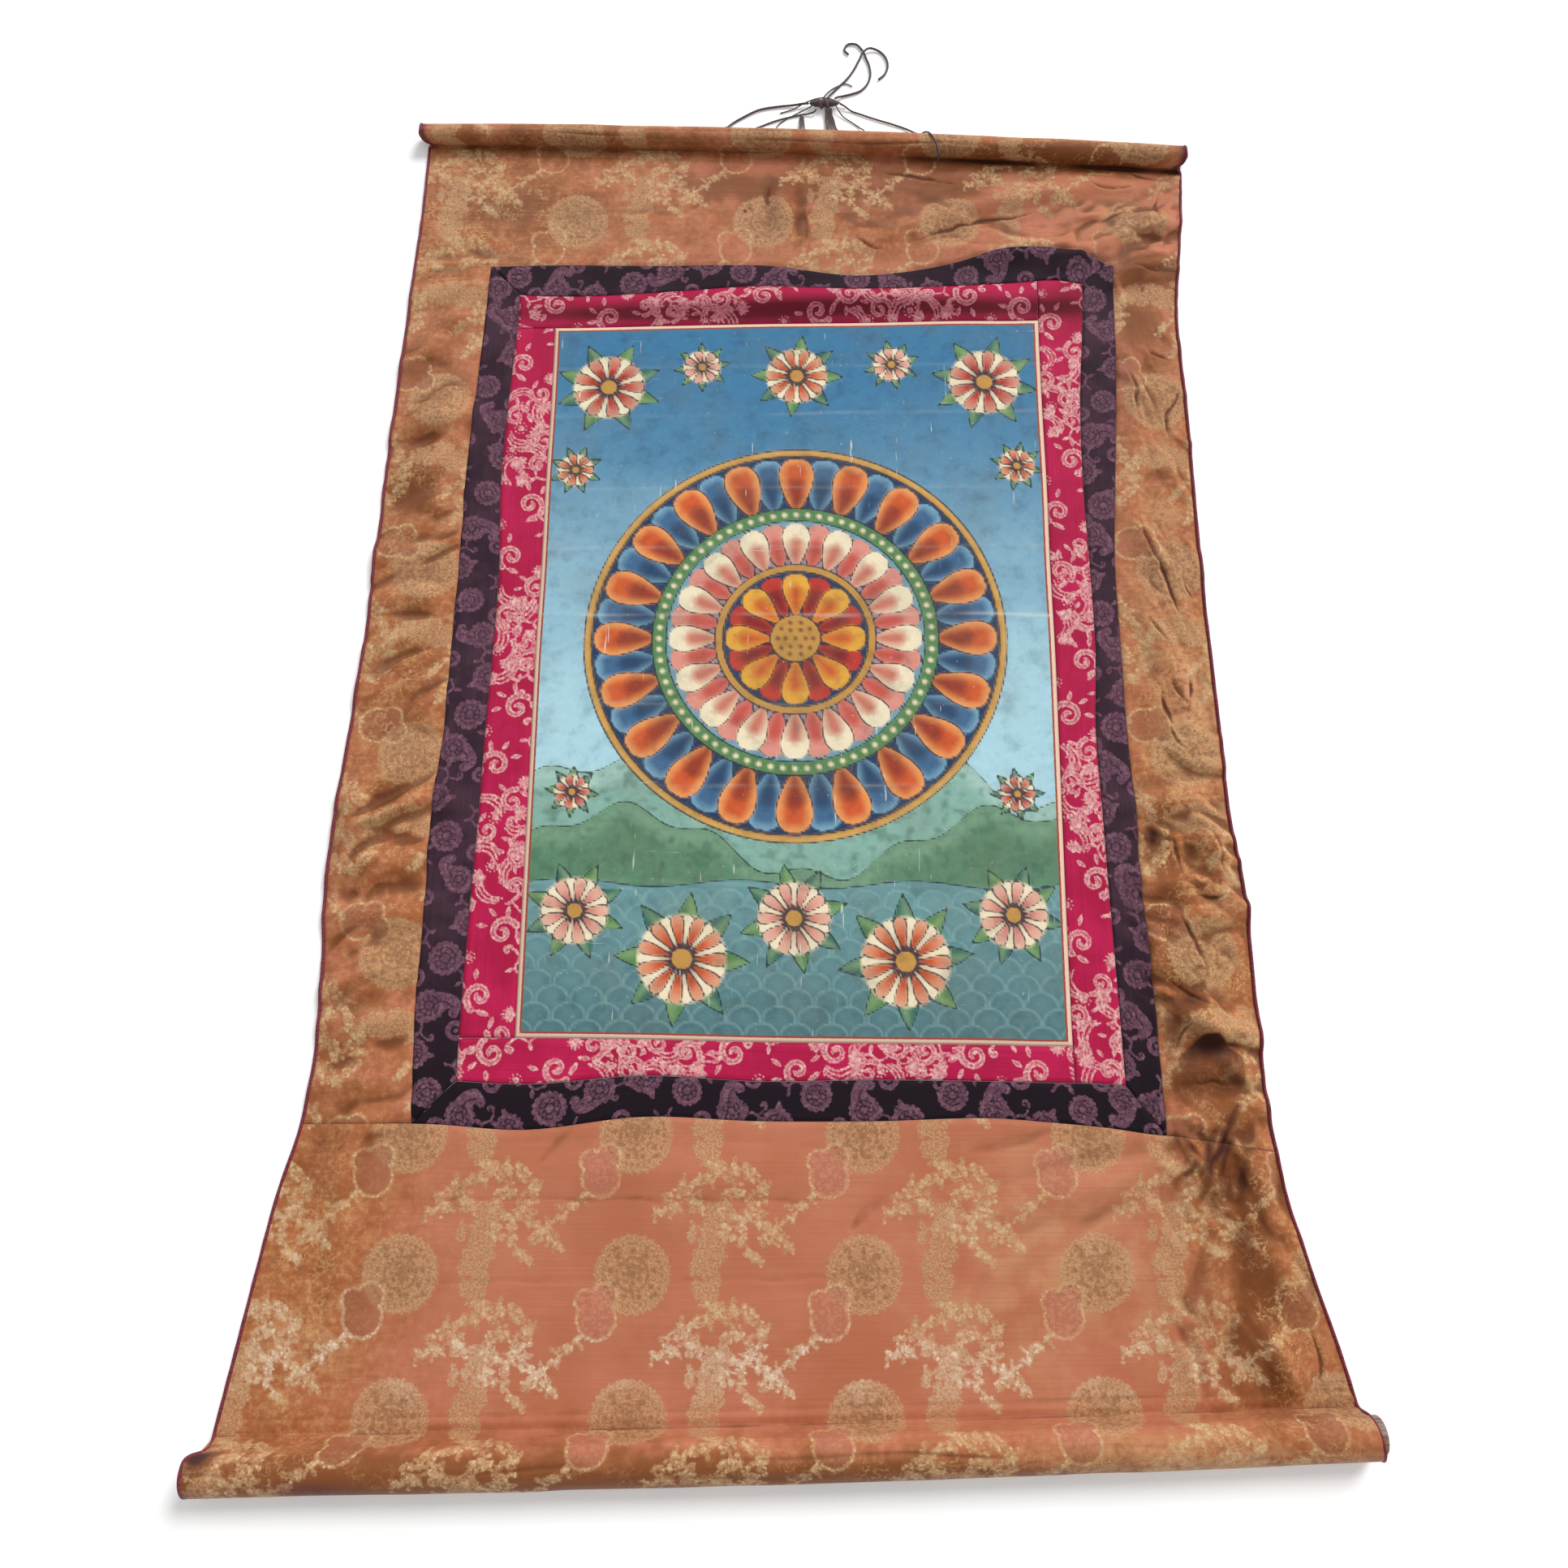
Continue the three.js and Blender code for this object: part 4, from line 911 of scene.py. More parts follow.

# %% [markdown]
# ## Wear, painted shade and sheen of the mount
# The silk is stained, faded and rubbed, and some shade and sheen are painted into it too. Each kind of mark is a
# short table of places with a size and an amount, and the material reads it as a painted value. Stains darken, and
# some of them are painted shade of folds and creases or the painted shadow under the top sleeve; fades pale, tans
# turn the ground from rose to brown, gleams are a painted sheen that whitens the gold thread, maroons are red spots
# on the sleeve, and pits are painted shade in dark hollows. The painted shade of the deepest tuck and of the
# narrow creases beside it has formulas of its own.

# %% Tables of wear, painted shade and sheen
# Real stains, and also painted shade on some folds and creases and a painted shadow under the top sleeve
STAINS_AND_SHADE = np.array([
    # in this and the next tables: x and y of the middle, reach along x and y, amount
    (326, -410, 22, 62, 1.2), (310, -274, 28, 26, 1.2), (283, -95, 14, 26, 1.2), (308, -334, 20, 26, 0.9),
    (320, -480, 50, 16, 0.4), (-250, 440, 60, 40, 0.2), (-300, 190, 30, 34, 0.5), (-300, 20, 34, 46, 0.3),
    (-310, -110, 34, 36, 0.3), (20, 490, 120, 20, 0.55), (-385, -450, 26, 60, 0.4), (-340, -340, 26, 30, 0.4),
    (330, 402, 40, 18, 0.9), (240, 512, 130, 9, 1.2), (-325, -260, 40, 60, 0.5), (-290, 300, 40, 90, 0.42),
    (310, 330, 30, 60, 0.3), (20, -535, 200, 20, 0.45), (-320, -525, 120, 12, 0.3), (288, -180, 22, 50, 0.6),
    (-60, 490, 30, 12, 0.6), (345, -500, 26, 24, 0.4), (150, 490, 60, 16, 0.5), (-180, 468, 60, 14, 0.3),
    (-200, -535, 300, 22, 0.9), (-230, 470, 90, 50, 0.3), (40, 470, 150, 40, 0.3), (-300, -40, 40, 260, 0.2),
    (130, -535, 110, 16, 0.45), (-250, 500, 90, 50, 0.25), (-160, 530, 170, 12, 0.5), (300, 340, 26, 40, 0.6),
    (100, 450, 110, 30, 0.25), (300, 395, 60, 14, 0.5), (-13, 481, 3.5, 17, 1.2), (15, 456, 3.5, 20, 1.2),
    (306, 207, 16, 8, 0.8), (296, -226, 14, 18, 0.7), (-306, 190, 22, 18, 0.6), (286, -150, 12, 40, 0.5),
])
MAROONS = np.array([(-306, -540, 28, 6, 0.75), (-402, -544, 14, 7, 0.9)])
FADES = np.array([
    (300, 460, 60, 36, 0.5), (318, 280, 26, 80, 0.3), (306, 110, 32, 110, 0.6), (110, 470, 90, 36, 0.2),
    (190, -400, 110, 90, 0.55), (320, -20, 30, 60, 0.8), (250, -528, 120, 22, 0.8), (326, -160, 20, 60, 0.5),
    (-330, -455, 40, 30, 0.5),
])
TANS = np.array([
    (-300, 60, 60, 420, 1.0), (310, 120, 50, 280, 0.9), (312, -170, 50, 160, 1.0), (-230, 460, 140, 70, 0.9),
    (-350, -430, 70, 130, 0.8), (340, -420, 60, 120, 1.0), (60, 440, 140, 36, 0.7), (-60, -535, 330, 26, 0.7),
    (250, -535, 200, 26, 0.8), (0, 530, 340, 16, 0.6), (250, 515, 130, 14, 0.8),
])
# Painted sheen on the gold thread, strongest on the slope up to the roller
GLEAMS = np.array([(0, -468, 420, 26, 0.7), (-330, -420, 60, 60, 0.5), (100, -380, 300, 26, 0.3)])
# Painted shade in the darkest hollows among the folds
PIT_SHADES = np.array([
    (-34, 463, 1.8, 2.0, 1.9), (-30, 466, 1.4, 1.2, 1.6), (280, -97, 7, 13, 1.7), (284, -240, 8, 18, 1.1),
    (297, -221, 14, 7, 1.2), (330, 403, 16, 4, 1.2), (284, -280, 5, 16, 0.9), (-306, 192, 20, 10, 0.5),
    (-290, 350, 14, 8, 0.5), (322, -390, 8, 26, 0.9),
])

# %% Stains and painted shade of dark places
BLOTCH_MOST = 1.9


def blotches(table, x, y):
    """Bell curves at listed places, added up and cut off at the largest amount."""
    total = np.zeros(np.broadcast(x, y).shape)
    for place_x, place_y, wide, long, amount in table:
        total = total + amount * bell(x / MM - place_x, wide) * bell(y / MM - place_y, long)
    return np.minimum(total, BLOTCH_MOST)


POCKET_X, POCKET_TOP, POCKET_DEEP = 309 * MM, -243 * MM, 52 * MM
POCKET_TIP, POCKET_HALF, POCKET_SOFT = 3 * MM, 20 * MM, 4 * MM
POCKET_OPEN, POCKET_LINE = 0.36, 0.7


def pocket(x, y):
    """Painted shade of a tuck low in the right panel: a triangle that opens below its tip, darkest there and
    along one line.
    """
    low = (POCKET_TOP - y) / POCKET_DEEP
    half = POCKET_TIP + POCKET_HALF * np.clip(low / POCKET_OPEN, 0, 1)
    inside = ease(0.5 + (half - np.abs(x - POCKET_X)) / POCKET_SOFT) * ease(low / 0.05) * ease((1 - low) / 0.3)
    return inside * (0.75 + 1.1 * bell(low, POCKET_OPEN) + 0.45 * bell(low - POCKET_LINE, 0.06))


STREAK_WANDER, STREAK_BEND = 2.2, 12
STREAKS = np.array([
    # x and y of both ends, width, amount
    (327, -292, 291, -362, 4.4, 1.75), (324, -310, 304, -352, 3.6, 1.7), (310, -310, 293, -345, 3.4, 1.7),
    (330, -328, 318, -364, 3.2, 1.4), (274, -347, 297, -333, 2.4, 1.25), (285, -314, 297, -333, 2.6, 1.25),
])


def streaks(x, y):
    """Painted shade of narrow creases: for each line its amount times half a sine along it and a bell curve
    across it.
    """
    total = np.zeros(np.broadcast(x, y).shape)
    for seed, (x1, y1, x2, y2, wide, amount) in enumerate(STREAKS):
        length = math.hypot(x2 - x1, y2 - y1)
        dx, dy = x / MM - x1, y / MM - y1
        along = (dx * (x2 - x1) + dy * (y2 - y1)) / length**2
        off = (dy * (x2 - x1) - dx * (y2 - y1)) / length
        off = off + STREAK_WANDER * soft_noise(along * length, 0 * along + 3 * seed, STREAK_BEND, 90)
        fade = np.sin(np.pi * np.clip(along, 0, 1)) ** 0.6
        total = np.maximum(total, amount * fade * bell(off, wide))
    return total


def painted_shade(x, y):
    """Painted shade wherever the cloth lies in the dark: the most of the pits, the tuck and the streaks."""
    return np.maximum(np.maximum(blotches(PIT_SHADES, x, y), pocket(x, y)), streaks(x, y))

# %% Brocade material
brocade, tree, shader, cloth, threads, dirt = new_cloth("brocade", 3600.0, 11.0)
fray = jitter(tree, cloth, 420.0, 5.0, 3.0, 0.7)
ragged = remap(tree, noise(tree, cloth, 38.0, 3.0, 0.6), 0.3, 0.7, -0.22, 0.22)
mottle, grain, tan = noise(tree, cloth, 70.0, 4.0, 0.65), noise(tree, cloth, 210.0, 3.0, 0.6), painted(tree, "tan")


def patchy(name, strength):
    """A painted blotch with a ragged edge instead of a smooth one."""
    return frayed(tree, name, ragged, 0.12, 0.95, 0.0, strength)


def on_tan(value, low, high, most):
    """A soft step of a value, on the tan parts alone."""
    return times(tree, tan, remap(tree, value, low, high, 0.0, most))


# The last layer darkens real stains, and also paints shade on some folds and a shadow under the top sleeve
ground = layered(
    tree, blend(tree, dirt["Wide"], (186, 109, 76), (198, 122, 92)),
    (patchy("tan", 0.85), (174, 101, 50)), (patchy("fade", 0.8), (212, 156, 112)),
    (on_tan(mottle, 0.48, 0.7, 0.5), (200, 152, 100)), (on_tan(mottle, 0.52, 0.32, 0.75), (142, 78, 38)),
    (on_tan(grain, 0.5, 0.68, 0.55), (210, 166, 108)), (on_tan(grain, 0.5, 0.34, 0.6), (150, 86, 50)),
    (times(tree, threads["Slub"], 0.2), (160, 88, 56)), (patchy("stain_and_shade", 0.92), (130, 71, 28)))

masks = {name: frayed(tree, name, fray, 0.7, -0.7) for name in WOVEN}
stipple = remap(tree, noise(tree, cloth, 480.0, 3.0, 0.75), 0.34, 0.62, 0.38, 0.92)
cells = node(tree, "ShaderNodeTexVoronoi", {"Vector": cloth, "Scale": 360.0, "Randomness": 0.9}).outputs["Distance"]
dots = remap(tree, cells, 0.55, 0.25, 0.4, 1.0)
# The gleam value is a painted sheen: it lightens the gold thread and the blossoms and fades their dark lines
khaki = layered(tree, blend(tree, threads["Speck"], (168, 124, 82), (206, 162, 118)),
                (times(tree, patchy("gleam", 0.9), stipple), (228, 202, 170)))
rosy = times(tree, masks["rose"], remap(tree, tan, 0.1, 0.9, 0.75, 0.65))
rose = blend(tree, remap(tree, tan, 0.3, 0.8), (200, 132, 106), (132, 80, 46))
bent = sums(tree, jitter(tree, cloth, 170.0, 1.0, 2.0, 0.55), 0.0, "ABSOLUTE")
inked = times(tree, remap(tree, threads["Speck"], 0.0, 1.0, 0.2, 0.75),
              remap(tree, painted(tree, "gleam"), 0.2, 0.8, 1.0, 0.3))
petal_shade = blend(tree, patchy("gleam", 1.0), (212, 176, 128), (240, 222, 198))
scribble = times(tree, remap(tree, bent, 0.055, 0.02), remap(tree, noise(tree, cloth, 42.0), 0.44, 0.56))
scribble = times(tree, times(tree, scribble, remap(tree, tan, 0.4, 1.1, 0.0, 0.8)), dots)
# How much shade is painted: the hollow value and ragged noise; high in troughs, seams, stitches and dark places
shade = sums(tree, painted(tree, "hollow"), times(tree, ragged, 0.7))
wrinkle = frayed(tree, "wrinkle", times(tree, fray, 0.5), 1.9, 0.2)
# After the figures come painted shade in the hollows, deeper painted shade in the darkest, a painted highlight on the
# crests, painted shade along each wrinkle's groove, and last the red wrap.
base = layered(
    tree, ground, (times(tree, masks["gold"], stipple), khaki), (times(tree, rosy, stipple), rose),
    (times(tree, rosy, remap(tree, bent, 0.1, 0.02, 0.0, 0.6)), (166, 94, 68)),
    (times(tree, masks["dark"], inked), (124, 78, 44)), (times(tree, masks["bright"], dots), petal_shade),
    (scribble, (210, 168, 114)), (remap(tree, shade, 0.05, 1.0, 0.0, 0.82), (112, 57, 20)),
    (remap(tree, shade, 0.9, 1.7), (62, 19, 5)), (remap(tree, shade, -0.15, -1.0, 0.0, 0.22), (232, 182, 132)),
    (times(tree, wrinkle, remap(tree, mottle, 0.35, 0.6, 0.25, 0.8)), (88, 46, 24)),
    (painted(tree, "wrap"), blend(tree, threads["Speck"], (68, 17, 23), (120, 44, 44))))
relief = sums(tree, threads["Height"], times(tree, masks["gold"], times(tree, stipple, 2.0)))
relief = sums(tree, relief, times(tree, wrinkle, 3.0), "SUBTRACT")
relief = sums(tree, relief, times(tree, times(tree, tan, grain), 4.0))
dress(tree, shader, base, relief, 0.45, 0.3,
      {"Roughness": remap(tree, threads["Slub"], 0.0, 1.0, 0.46, 0.62), "Specular IOR Level": 0.32,
       "Sheen Weight": 0.04, "Sheen Tint": colour(255, 214, 170)})

# %% Side panels
SIDE_STEP = 1.15 * MM
SEAM_SHADE = 0.25


def brocade_values(name, x, y, cloth):
    """All painted values of a panel: its woven figures, its wear, its stains and painted shade, its painted sheen
    and its wrinkle lines, with no red wrap yet.
    """
    values = brocade_fields(name, cloth[..., 0] / MM, cloth[..., 1] / MM)
    tables = {"stain_and_shade": STAINS_AND_SHADE, "fade": FADES, "tan": TANS, "gleam": GLEAMS}
    values.update({key: blotches(table, x, y) for key, table in tables.items()})
    values.update(wrinkle=wrinkle_distance(x, y), wrap=np.zeros_like(x))
    return values


SIDES = {"mount_left": (plain(down["edge_left"], -UNDER_PIPING), plain(down["outer_left"])),
         "mount_right": (plain(down["outer_right"]), plain(down["edge_right"], UNDER_PIPING))}
for name, edges in SIDES.items():
    sheet = lay_sheet(*edges, plain(across["outer_top"]), plain(across["outer_bottom"]), SIDE_STEP, SEAM_SHADE)
    cloth = np.stack([sheet["x"], sheet["y"]], axis=-1)
    sheet["hollow"] = np.maximum(sheet["hollow"], painted_shade(sheet["x"], sheet["y"]))
    finish_sheet(name, sheet, cloth, brocade_values(name, sheet["x"], sheet["y"], cloth), brocade)

# %% [markdown]
# ## Panels with a sleeve
# The top and bottom panels end in a sleeve: the cloth rises from its stitch line, goes round the rod and comes
# back under it to the same stitches. So the panel is one grid whose rows first run down the sheet and then round
# a ring. The rods bow a little, and the ends of the roller's sleeve slant outward with the panel's own edge.

# %% Rods and sleeve rings
ROD = {"radius": 6.8 * MM, "sleeve": 9 * MM, "turn": 280, "left_x": -0.316, "right_x": 0.350,
       "left_y": 0.537, "right_y": 0.513, "bow": 5.5 * MM, "flare_left": -8 * MM, "flare_right": 5 * MM, "cap": 0.95}
ROLLER = {"radius": 12.6 * MM, "sleeve": 15 * MM, "turn": 246, "left_x": -0.391, "right_x": 0.399,
          "left_y": -0.531, "right_y": -0.5085, "bow": -2.5 * MM, "flare_left": -8.5 * MM, "flare_right": 12 * MM,
          "cap": 0.0}
ROD_STITCH_LEFT, ROD_STITCH_RIGHT = 5.5 * MM, 9.5 * MM
ROLLER_STITCH_LEFT, ROLLER_STITCH_RIGHT = 19 * MM, 15.5 * MM
ROD_RECESS = 1 * MM
ROLLER_RECESS = 10 * MM
SLEEVE_LINES = ((0.24, 0.7), (0.38, 0.5))
SLEEVE_SLACK, SLEEVE_LINE_WIDE = 0.6, 0.03
CAP_WIDE = 5 * MM
WRAP_WIDE = 7 * MM
SETTLE = 14 * MM
TUCK_RISE, TUCK_AT, TUCK_WIDE = 1.5 * MM, 6 * MM, 3.4 * MM
SLOPE_SAG = 0.10
STITCH_DARK, STITCH_REACH, FAINT_LINE = 0.55, 1.3 * MM, -11 * MM


def share_along(rod, x):
    return (x - rod["left_x"]) / (rod["right_x"] - rod["left_x"])


def axis_y(rod, x):
    """Middle of a bowed rod: a straight line between its ends plus a parabola that is highest half way."""
    t = share_along(rod, x)
    return mix(rod["left_y"], rod["right_y"], t) + rod["bow"] * (1 - (2 * t - 1) ** 2)


def ring_points(rod, side, x, turned, radius):
    """Points of a sleeve's ring: turned from 0 at the stitch side, over the top, to 1 at the floor."""
    angle = np.radians(rod["turn"] * (1 - turned) - 90)
    share, quick = share_along(rod, x), 1 - (1 - np.clip(turned / (0.3 if rod is ROD else 0.14), 0, 1)) ** 3
    flare = mix(rod["flare_left"], rod["flare_right"], share)
    flare = flare * mix(quick, quick if rod is ROD else np.minimum(turned, 1.5 - turned), ease(3 * share))
    return np.stack(np.broadcast_arrays(
        x + flare, axis_y(rod, x) + side * radius * np.cos(angle), rod["sleeve"] + radius * np.sin(angle)),
        axis=-1)


def roller_stitch(x):
    return axis_y(ROLLER, x) + mix(ROLLER_STITCH_LEFT, ROLLER_STITCH_RIGHT, share_along(ROLLER, x))


def rod_stitch(x):
    return axis_y(ROD, x) - mix(ROD_STITCH_LEFT, ROD_STITCH_RIGHT, share_along(ROD, x))


def sleeve_wrinkles(x, turned):
    """Slack of the cloth round the rod: soft swells, and a few narrow lines along the sleeve that wander and
    come and go."""
    swell = SLEEVE_SLACK * soft_noise(x, 40 * MM * turned, 34 * MM, 8)
    for seed, (at, depth) in enumerate(SLEEVE_LINES):
        wander = 0.05 * soft_noise(x, 0 * turned, 70 * MM, 30 + seed)
        come = 0.5 + 0.5 * soft_noise(x, 0 * turned, 55 * MM, 40 + seed)
        swell = swell - depth * come * bell(turned - at - wander, SLEEVE_LINE_WIDE)
    return MM * swell * ease(turned / 0.1) * ease((0.8 - turned) / 0.2)

# %% Panels
def sleeve_shades(side, points, along, run, rows, slope_rows, hollow):
    """Painted shade and red of a sleeved panel. Its stitches lie in a line of painted shadow, wider and darker under
    the right part of the top sleeve, with a fainter painted line beside them. The rod's sleeve is wrapped in red at
    both ends, and the roller's has a corner of painted shade and spots of red."""
    from_stitch = run - run[rows - 1]
    fickle = soft_noise(along, 0 * along, 30 * MM, 12)
    dark, reach = STITCH_DARK + 0.3 * fickle, STITCH_REACH + 0.3 * MM * fickle
    start, climb = along - along[:, :1], from_stitch - from_stitch[rows + slope_rows]
    if side > 0:
        deep_shade = ease((along - 0.05) / 0.1)
        dark, reach = dark + deep_shade * (1.1 + 0.6 * fickle), reach + deep_shade * (2.4 + 0.8 * fickle) * MM
        ring_rows = len(points) - rows - slope_rows
        ringed = np.concatenate([np.zeros(rows), np.linspace(0, 1, slope_rows), np.ones(ring_rows)])[:, None]
        end = np.minimum(start, along[:, -1:] - along)
        wrap = ease(1.6 - end / WRAP_WIDE) * ringed
    else:
        corner = bell(start - 7 * MM, 10 * MM) * bell(climb - 8 * MM, 9 * MM)
        hollow = np.maximum(hollow, BLOTCH_MOST * corner)
        wrap = np.maximum(0.3 * ease(0.5 + fickle) * bell(from_stitch, MM),
                          blotches(MAROONS, points[..., 0], points[..., 1]))
    hollow = np.maximum(hollow, dark * bell(from_stitch, reach))
    hollow = np.maximum(hollow, 0.4 * bell(from_stitch - FAINT_LINE, 1.5 * MM))
    return hollow, wrap


def sleeved_sheet(rod, side, seam, stitch, columns, rows, slope_rows, ring_rows):
    """The whole panel as one grid. Rows of the flat sheet go from the seam to the stitch line; then they climb in
    a hollow curve to the ring and follow it to the floor. The cloth map's second value is the length so far."""
    f, k = np.meshgrid(np.linspace(0, 1, columns), np.linspace(0, 1, rows))
    y = np.full_like(f, seam(0.0))
    for _ in range(MEETING_PASSES):
        x = mix(down["edge_left"](y) - UNDER_PIPING, down["edge_right"](y) + UNDER_PIPING, f)
        y = mix(seam(x), stitch(x), k)
    height, deep = cloth_height(x, y), abs(stitch(0.0) - seam(0.0))
    seam_pull, to_stitch = bell(y - y[:1], SEAM_REACH), (1 - k) * deep
    hollow = np.maximum(hollows(height, deep / rows), SEAM_SHADE * seam_pull)
    height = mix(CLOTH_THICKNESS, height, ease(to_stitch / SETTLE))
    tuck = TUCK_RISE * bell(to_stitch - TUCK_AT, TUCK_WIDE)
    tuck = tuck * (0.6 + 0.4 * soft_noise(x, y, 45 * MM, 9))
    flat = np.stack([x, y, height - SEAM_DIP * seam_pull + tuck], axis=-1)
    foot, turned = flat[-1], np.linspace(0, 1, ring_rows)[:, None]
    swell = sleeve_wrinkles(foot[None, :, 0], turned)
    cap = 1 - np.clip(np.minimum(foot[:, 0] - foot[0, 0], foot[-1, 0] - foot[:, 0]) / CAP_WIDE, 0, 1)
    size = rod["sleeve"] * np.sqrt(1 - rod["cap"] * cap**2)
    wall = ring_points(rod, side, foot[None, :, 0], turned, size + swell)
    t = np.linspace(0, 1, slope_rows + 2)[1:-1, None, None]
    slope = mix(foot[None], wall[:1], t)
    slope[..., 2] -= SLOPE_SAG * (wall[:1, :, 2] - foot[None, :, 2]) * np.sin(np.pi * t[..., 0])
    points = np.concatenate([flat, slope, wall])
    steps = np.linalg.norm(np.diff(points, axis=0), axis=2)
    run = np.concatenate([np.zeros((1, columns)), np.cumsum(steps, axis=0)])
    length = np.sign(stitch(0.0) - seam(0.0)) * run + y[:1]
    along = np.concatenate([x, np.repeat(x[-1:], len(points) - rows, axis=0)])
    # Painted shade in the dips of the sleeve's wrinkles and a painted highlight on their swells
    dip = np.clip((blurred(swell, 3) - swell) / (0.5 * MM), -1, 1)
    hollow = np.concatenate([hollow, np.zeros((slope_rows, columns)), dip])
    hollow, wrap = sleeve_shades(side, points, along, run, rows, slope_rows, hollow)
    parts = [points, np.stack([along, length], axis=-1), hollow, wrap]
    return [part[::-1] for part in parts] if side > 0 else parts


PANELS = {
    # rod, its side of the panel, seam, stitch line, then columns and rows of the flat, the slope and the ring
    "mount_top": (ROD, 1, across["outer_top"], rod_stitch, 500, 92, 5, 40),
    "mount_bottom": (ROLLER, -1, across["outer_bottom"], roller_stitch, 520, 120, 12, 48),
}
for name, plan in PANELS.items():
    points, cloth, hollow, wrap = sleeved_sheet(*plan)
    x, y = points[..., 0], points[..., 1]
    values = brocade_values(name, x, y, cloth)
    values.update(hollow=np.maximum(hollow, painted_shade(x, y)), wrap=wrap)
    grid = {"points": points, "cloth": cloth, "values": values}
    piece = add_piece(name, grid_mesh(name, [grid]), brocade, [name])
    area, wide = cloth_area(points), float(np.ptp(x))
    long = float(np.abs(cloth[0, :, 1] - cloth[-1, :, 1]).max())
    print(name, "cut", round(wide, 3), round(long, 3), "m, area", round(area, 4), "m2")

# %% [markdown]
# ## Piping, rod and roller
# Dark red piping covers the side edges. It follows the sleeve's end at the head, runs down the edge and curls
# round the end of the roller's sleeve. The rods are turned from softwood; only the roller's right end shows.

# %% Piping
PIPING = 1.3 * MM
PIPING_OUT = {-1: 0.6 * MM, 1: 1.2 * MM}
PIPING_CLEAR = 0.4 * MM
PIPING_WRAP_TOP, PIPING_WRAP_BOTTOM = 8 / 11, 9 / 11
PIPING_STEP = 2.4 * MM
STITCH_CLEAR = 2 * MM

piping_finish, tree, shader = new_material("piping")
cloth = cloth_map(tree)
rib = noise(tree, stretched(tree, cloth, 3.0, 700.0), 1.0, 2.0, 0.6)
red = layered(tree, blend(tree, remap(tree, rib, 0.35, 0.65), (68, 14, 26), (136, 28, 50)),
              (remap(tree, noise(tree, cloth, 60.0, 3.0), 0.6, 0.8), (140, 66, 62)))
dress(tree, shader, red, rib, 0.5, 0.3, {"Roughness": 0.75, "Sheen Weight": 0.15})


def piping_path(edge, side):
    """Path of the piping's middle: round the top ring, down the edge, round the bottom ring."""
    head_x, foot_x = edge(rod_stitch(edge(0.52))), edge(roller_stitch(edge(-0.5)))
    wrap = np.linspace(PIPING_WRAP_TOP, 0, 24)
    shoulder = ROD["sleeve"] * math.sqrt(1 - ROD["cap"] / 4) + 0.3 * MM
    top = ring_points(ROD, 1, head_x - side * (CAP_WIDE / 2 + PIPING_OUT[side]), wrap, shoulder)
    y = np.linspace(rod_stitch(head_x) - STITCH_CLEAR, roller_stitch(foot_x) + STITCH_CLEAR, 300)
    settle = ease((y - y[-1]) / SETTLE) * ease((y[0] - y) / SETTLE)
    rise = mix(CLOTH_THICKNESS, cloth_height(edge(y), y), settle)
    edge_line = np.stack([edge(y), y, np.maximum(rise - 0.2 * MM, PIPING)], axis=-1)
    turned = np.linspace(0, PIPING_WRAP_BOTTOM, 36)
    bottom = ring_points(ROLLER, -1, foot_x, turned, ROLLER["radius"] + PIPING + PIPING_CLEAR)
    path = np.concatenate([top, edge_line, bottom])
    path[:, 0] += side * PIPING_OUT[side]
    return curve_through(path, PIPING_STEP)


for name, edge, side in (("binding_left", down["edge_left"], -1), ("binding_right", down["edge_right"], 1)):
    path = piping_path(edge, side)
    size = PIPING * (1 + 0.12 * soft_noise(path[:, 1], path[:, 2], 9 * MM, 11))
    add_piece(name, grid_mesh(name, [tube_grid(path, size, 10)], wrap=True), piping_finish, [name])

# %% Rod and roller
wood, tree, shader = new_material("turned_wood")
place = object_place(tree)
grain = noise(tree, stretched(tree, place, 9.0, 420.0, 420.0), 1.0, 4.0, 0.6)
pores = noise(tree, stretched(tree, place, 60.0, 1400.0, 1400.0), 1.0)
timber = layered(tree, blend(tree, remap(tree, grain, 0.35, 0.65), (96, 78, 64), (142, 120, 100)),
                 (remap(tree, pores, 0.55, 0.75), (70, 52, 42)))
dress(tree, shader, timber, grain, 0.3, 0.3, {"Roughness": 0.62})
ROUNDED = 2 * MM
ROD_SIDES = 32


def rod_grid(rod, left_x, right_x):
    """A rod along its bowed axis, its radius rounded off over the last stretch as a quarter circle."""
    end, middle = np.linspace(0, ROUNDED, 8), np.linspace(left_x + 2 * ROUNDED, right_x - 2 * ROUNDED, 90)
    x = np.concatenate([left_x + end, middle, right_x - end[::-1]])
    inset = np.clip(np.minimum(x - left_x, right_x - x) / ROUNDED, 0, 1)
    size = rod["radius"] - ROUNDED * (1 - np.sqrt(1 - (1 - inset) ** 2))
    path = np.stack([x, axis_y(rod, x), np.full_like(x, rod["sleeve"])], axis=-1)
    path = np.concatenate([path[:1], path, path[-1:]])
    path[0, 0] -= CLOSED
    path[-1, 0] += CLOSED
    return tube_grid(path, np.concatenate([[0], size, [0]]), ROD_SIDES)


rods = (("top_rod", ROD, ROD_RECESS, ROD_RECESS), ("bottom_roller", ROLLER, ROLLER_RECESS, 0))
for name, rod, left_in, right_in in rods:
    mesh = grid_mesh(name, [rod_grid(rod, rod["left_x"] + left_in, rod["right_x"] - right_in)], wrap=True)
    add_piece(name, mesh, wood, [name])

# %% [markdown]
# ## The outer strips
# Dark aubergine silk with mauve rosettes and small curls, mitred at the corners. The pattern runs along each
# strip, so its map measures the length along the strip and the place across it.

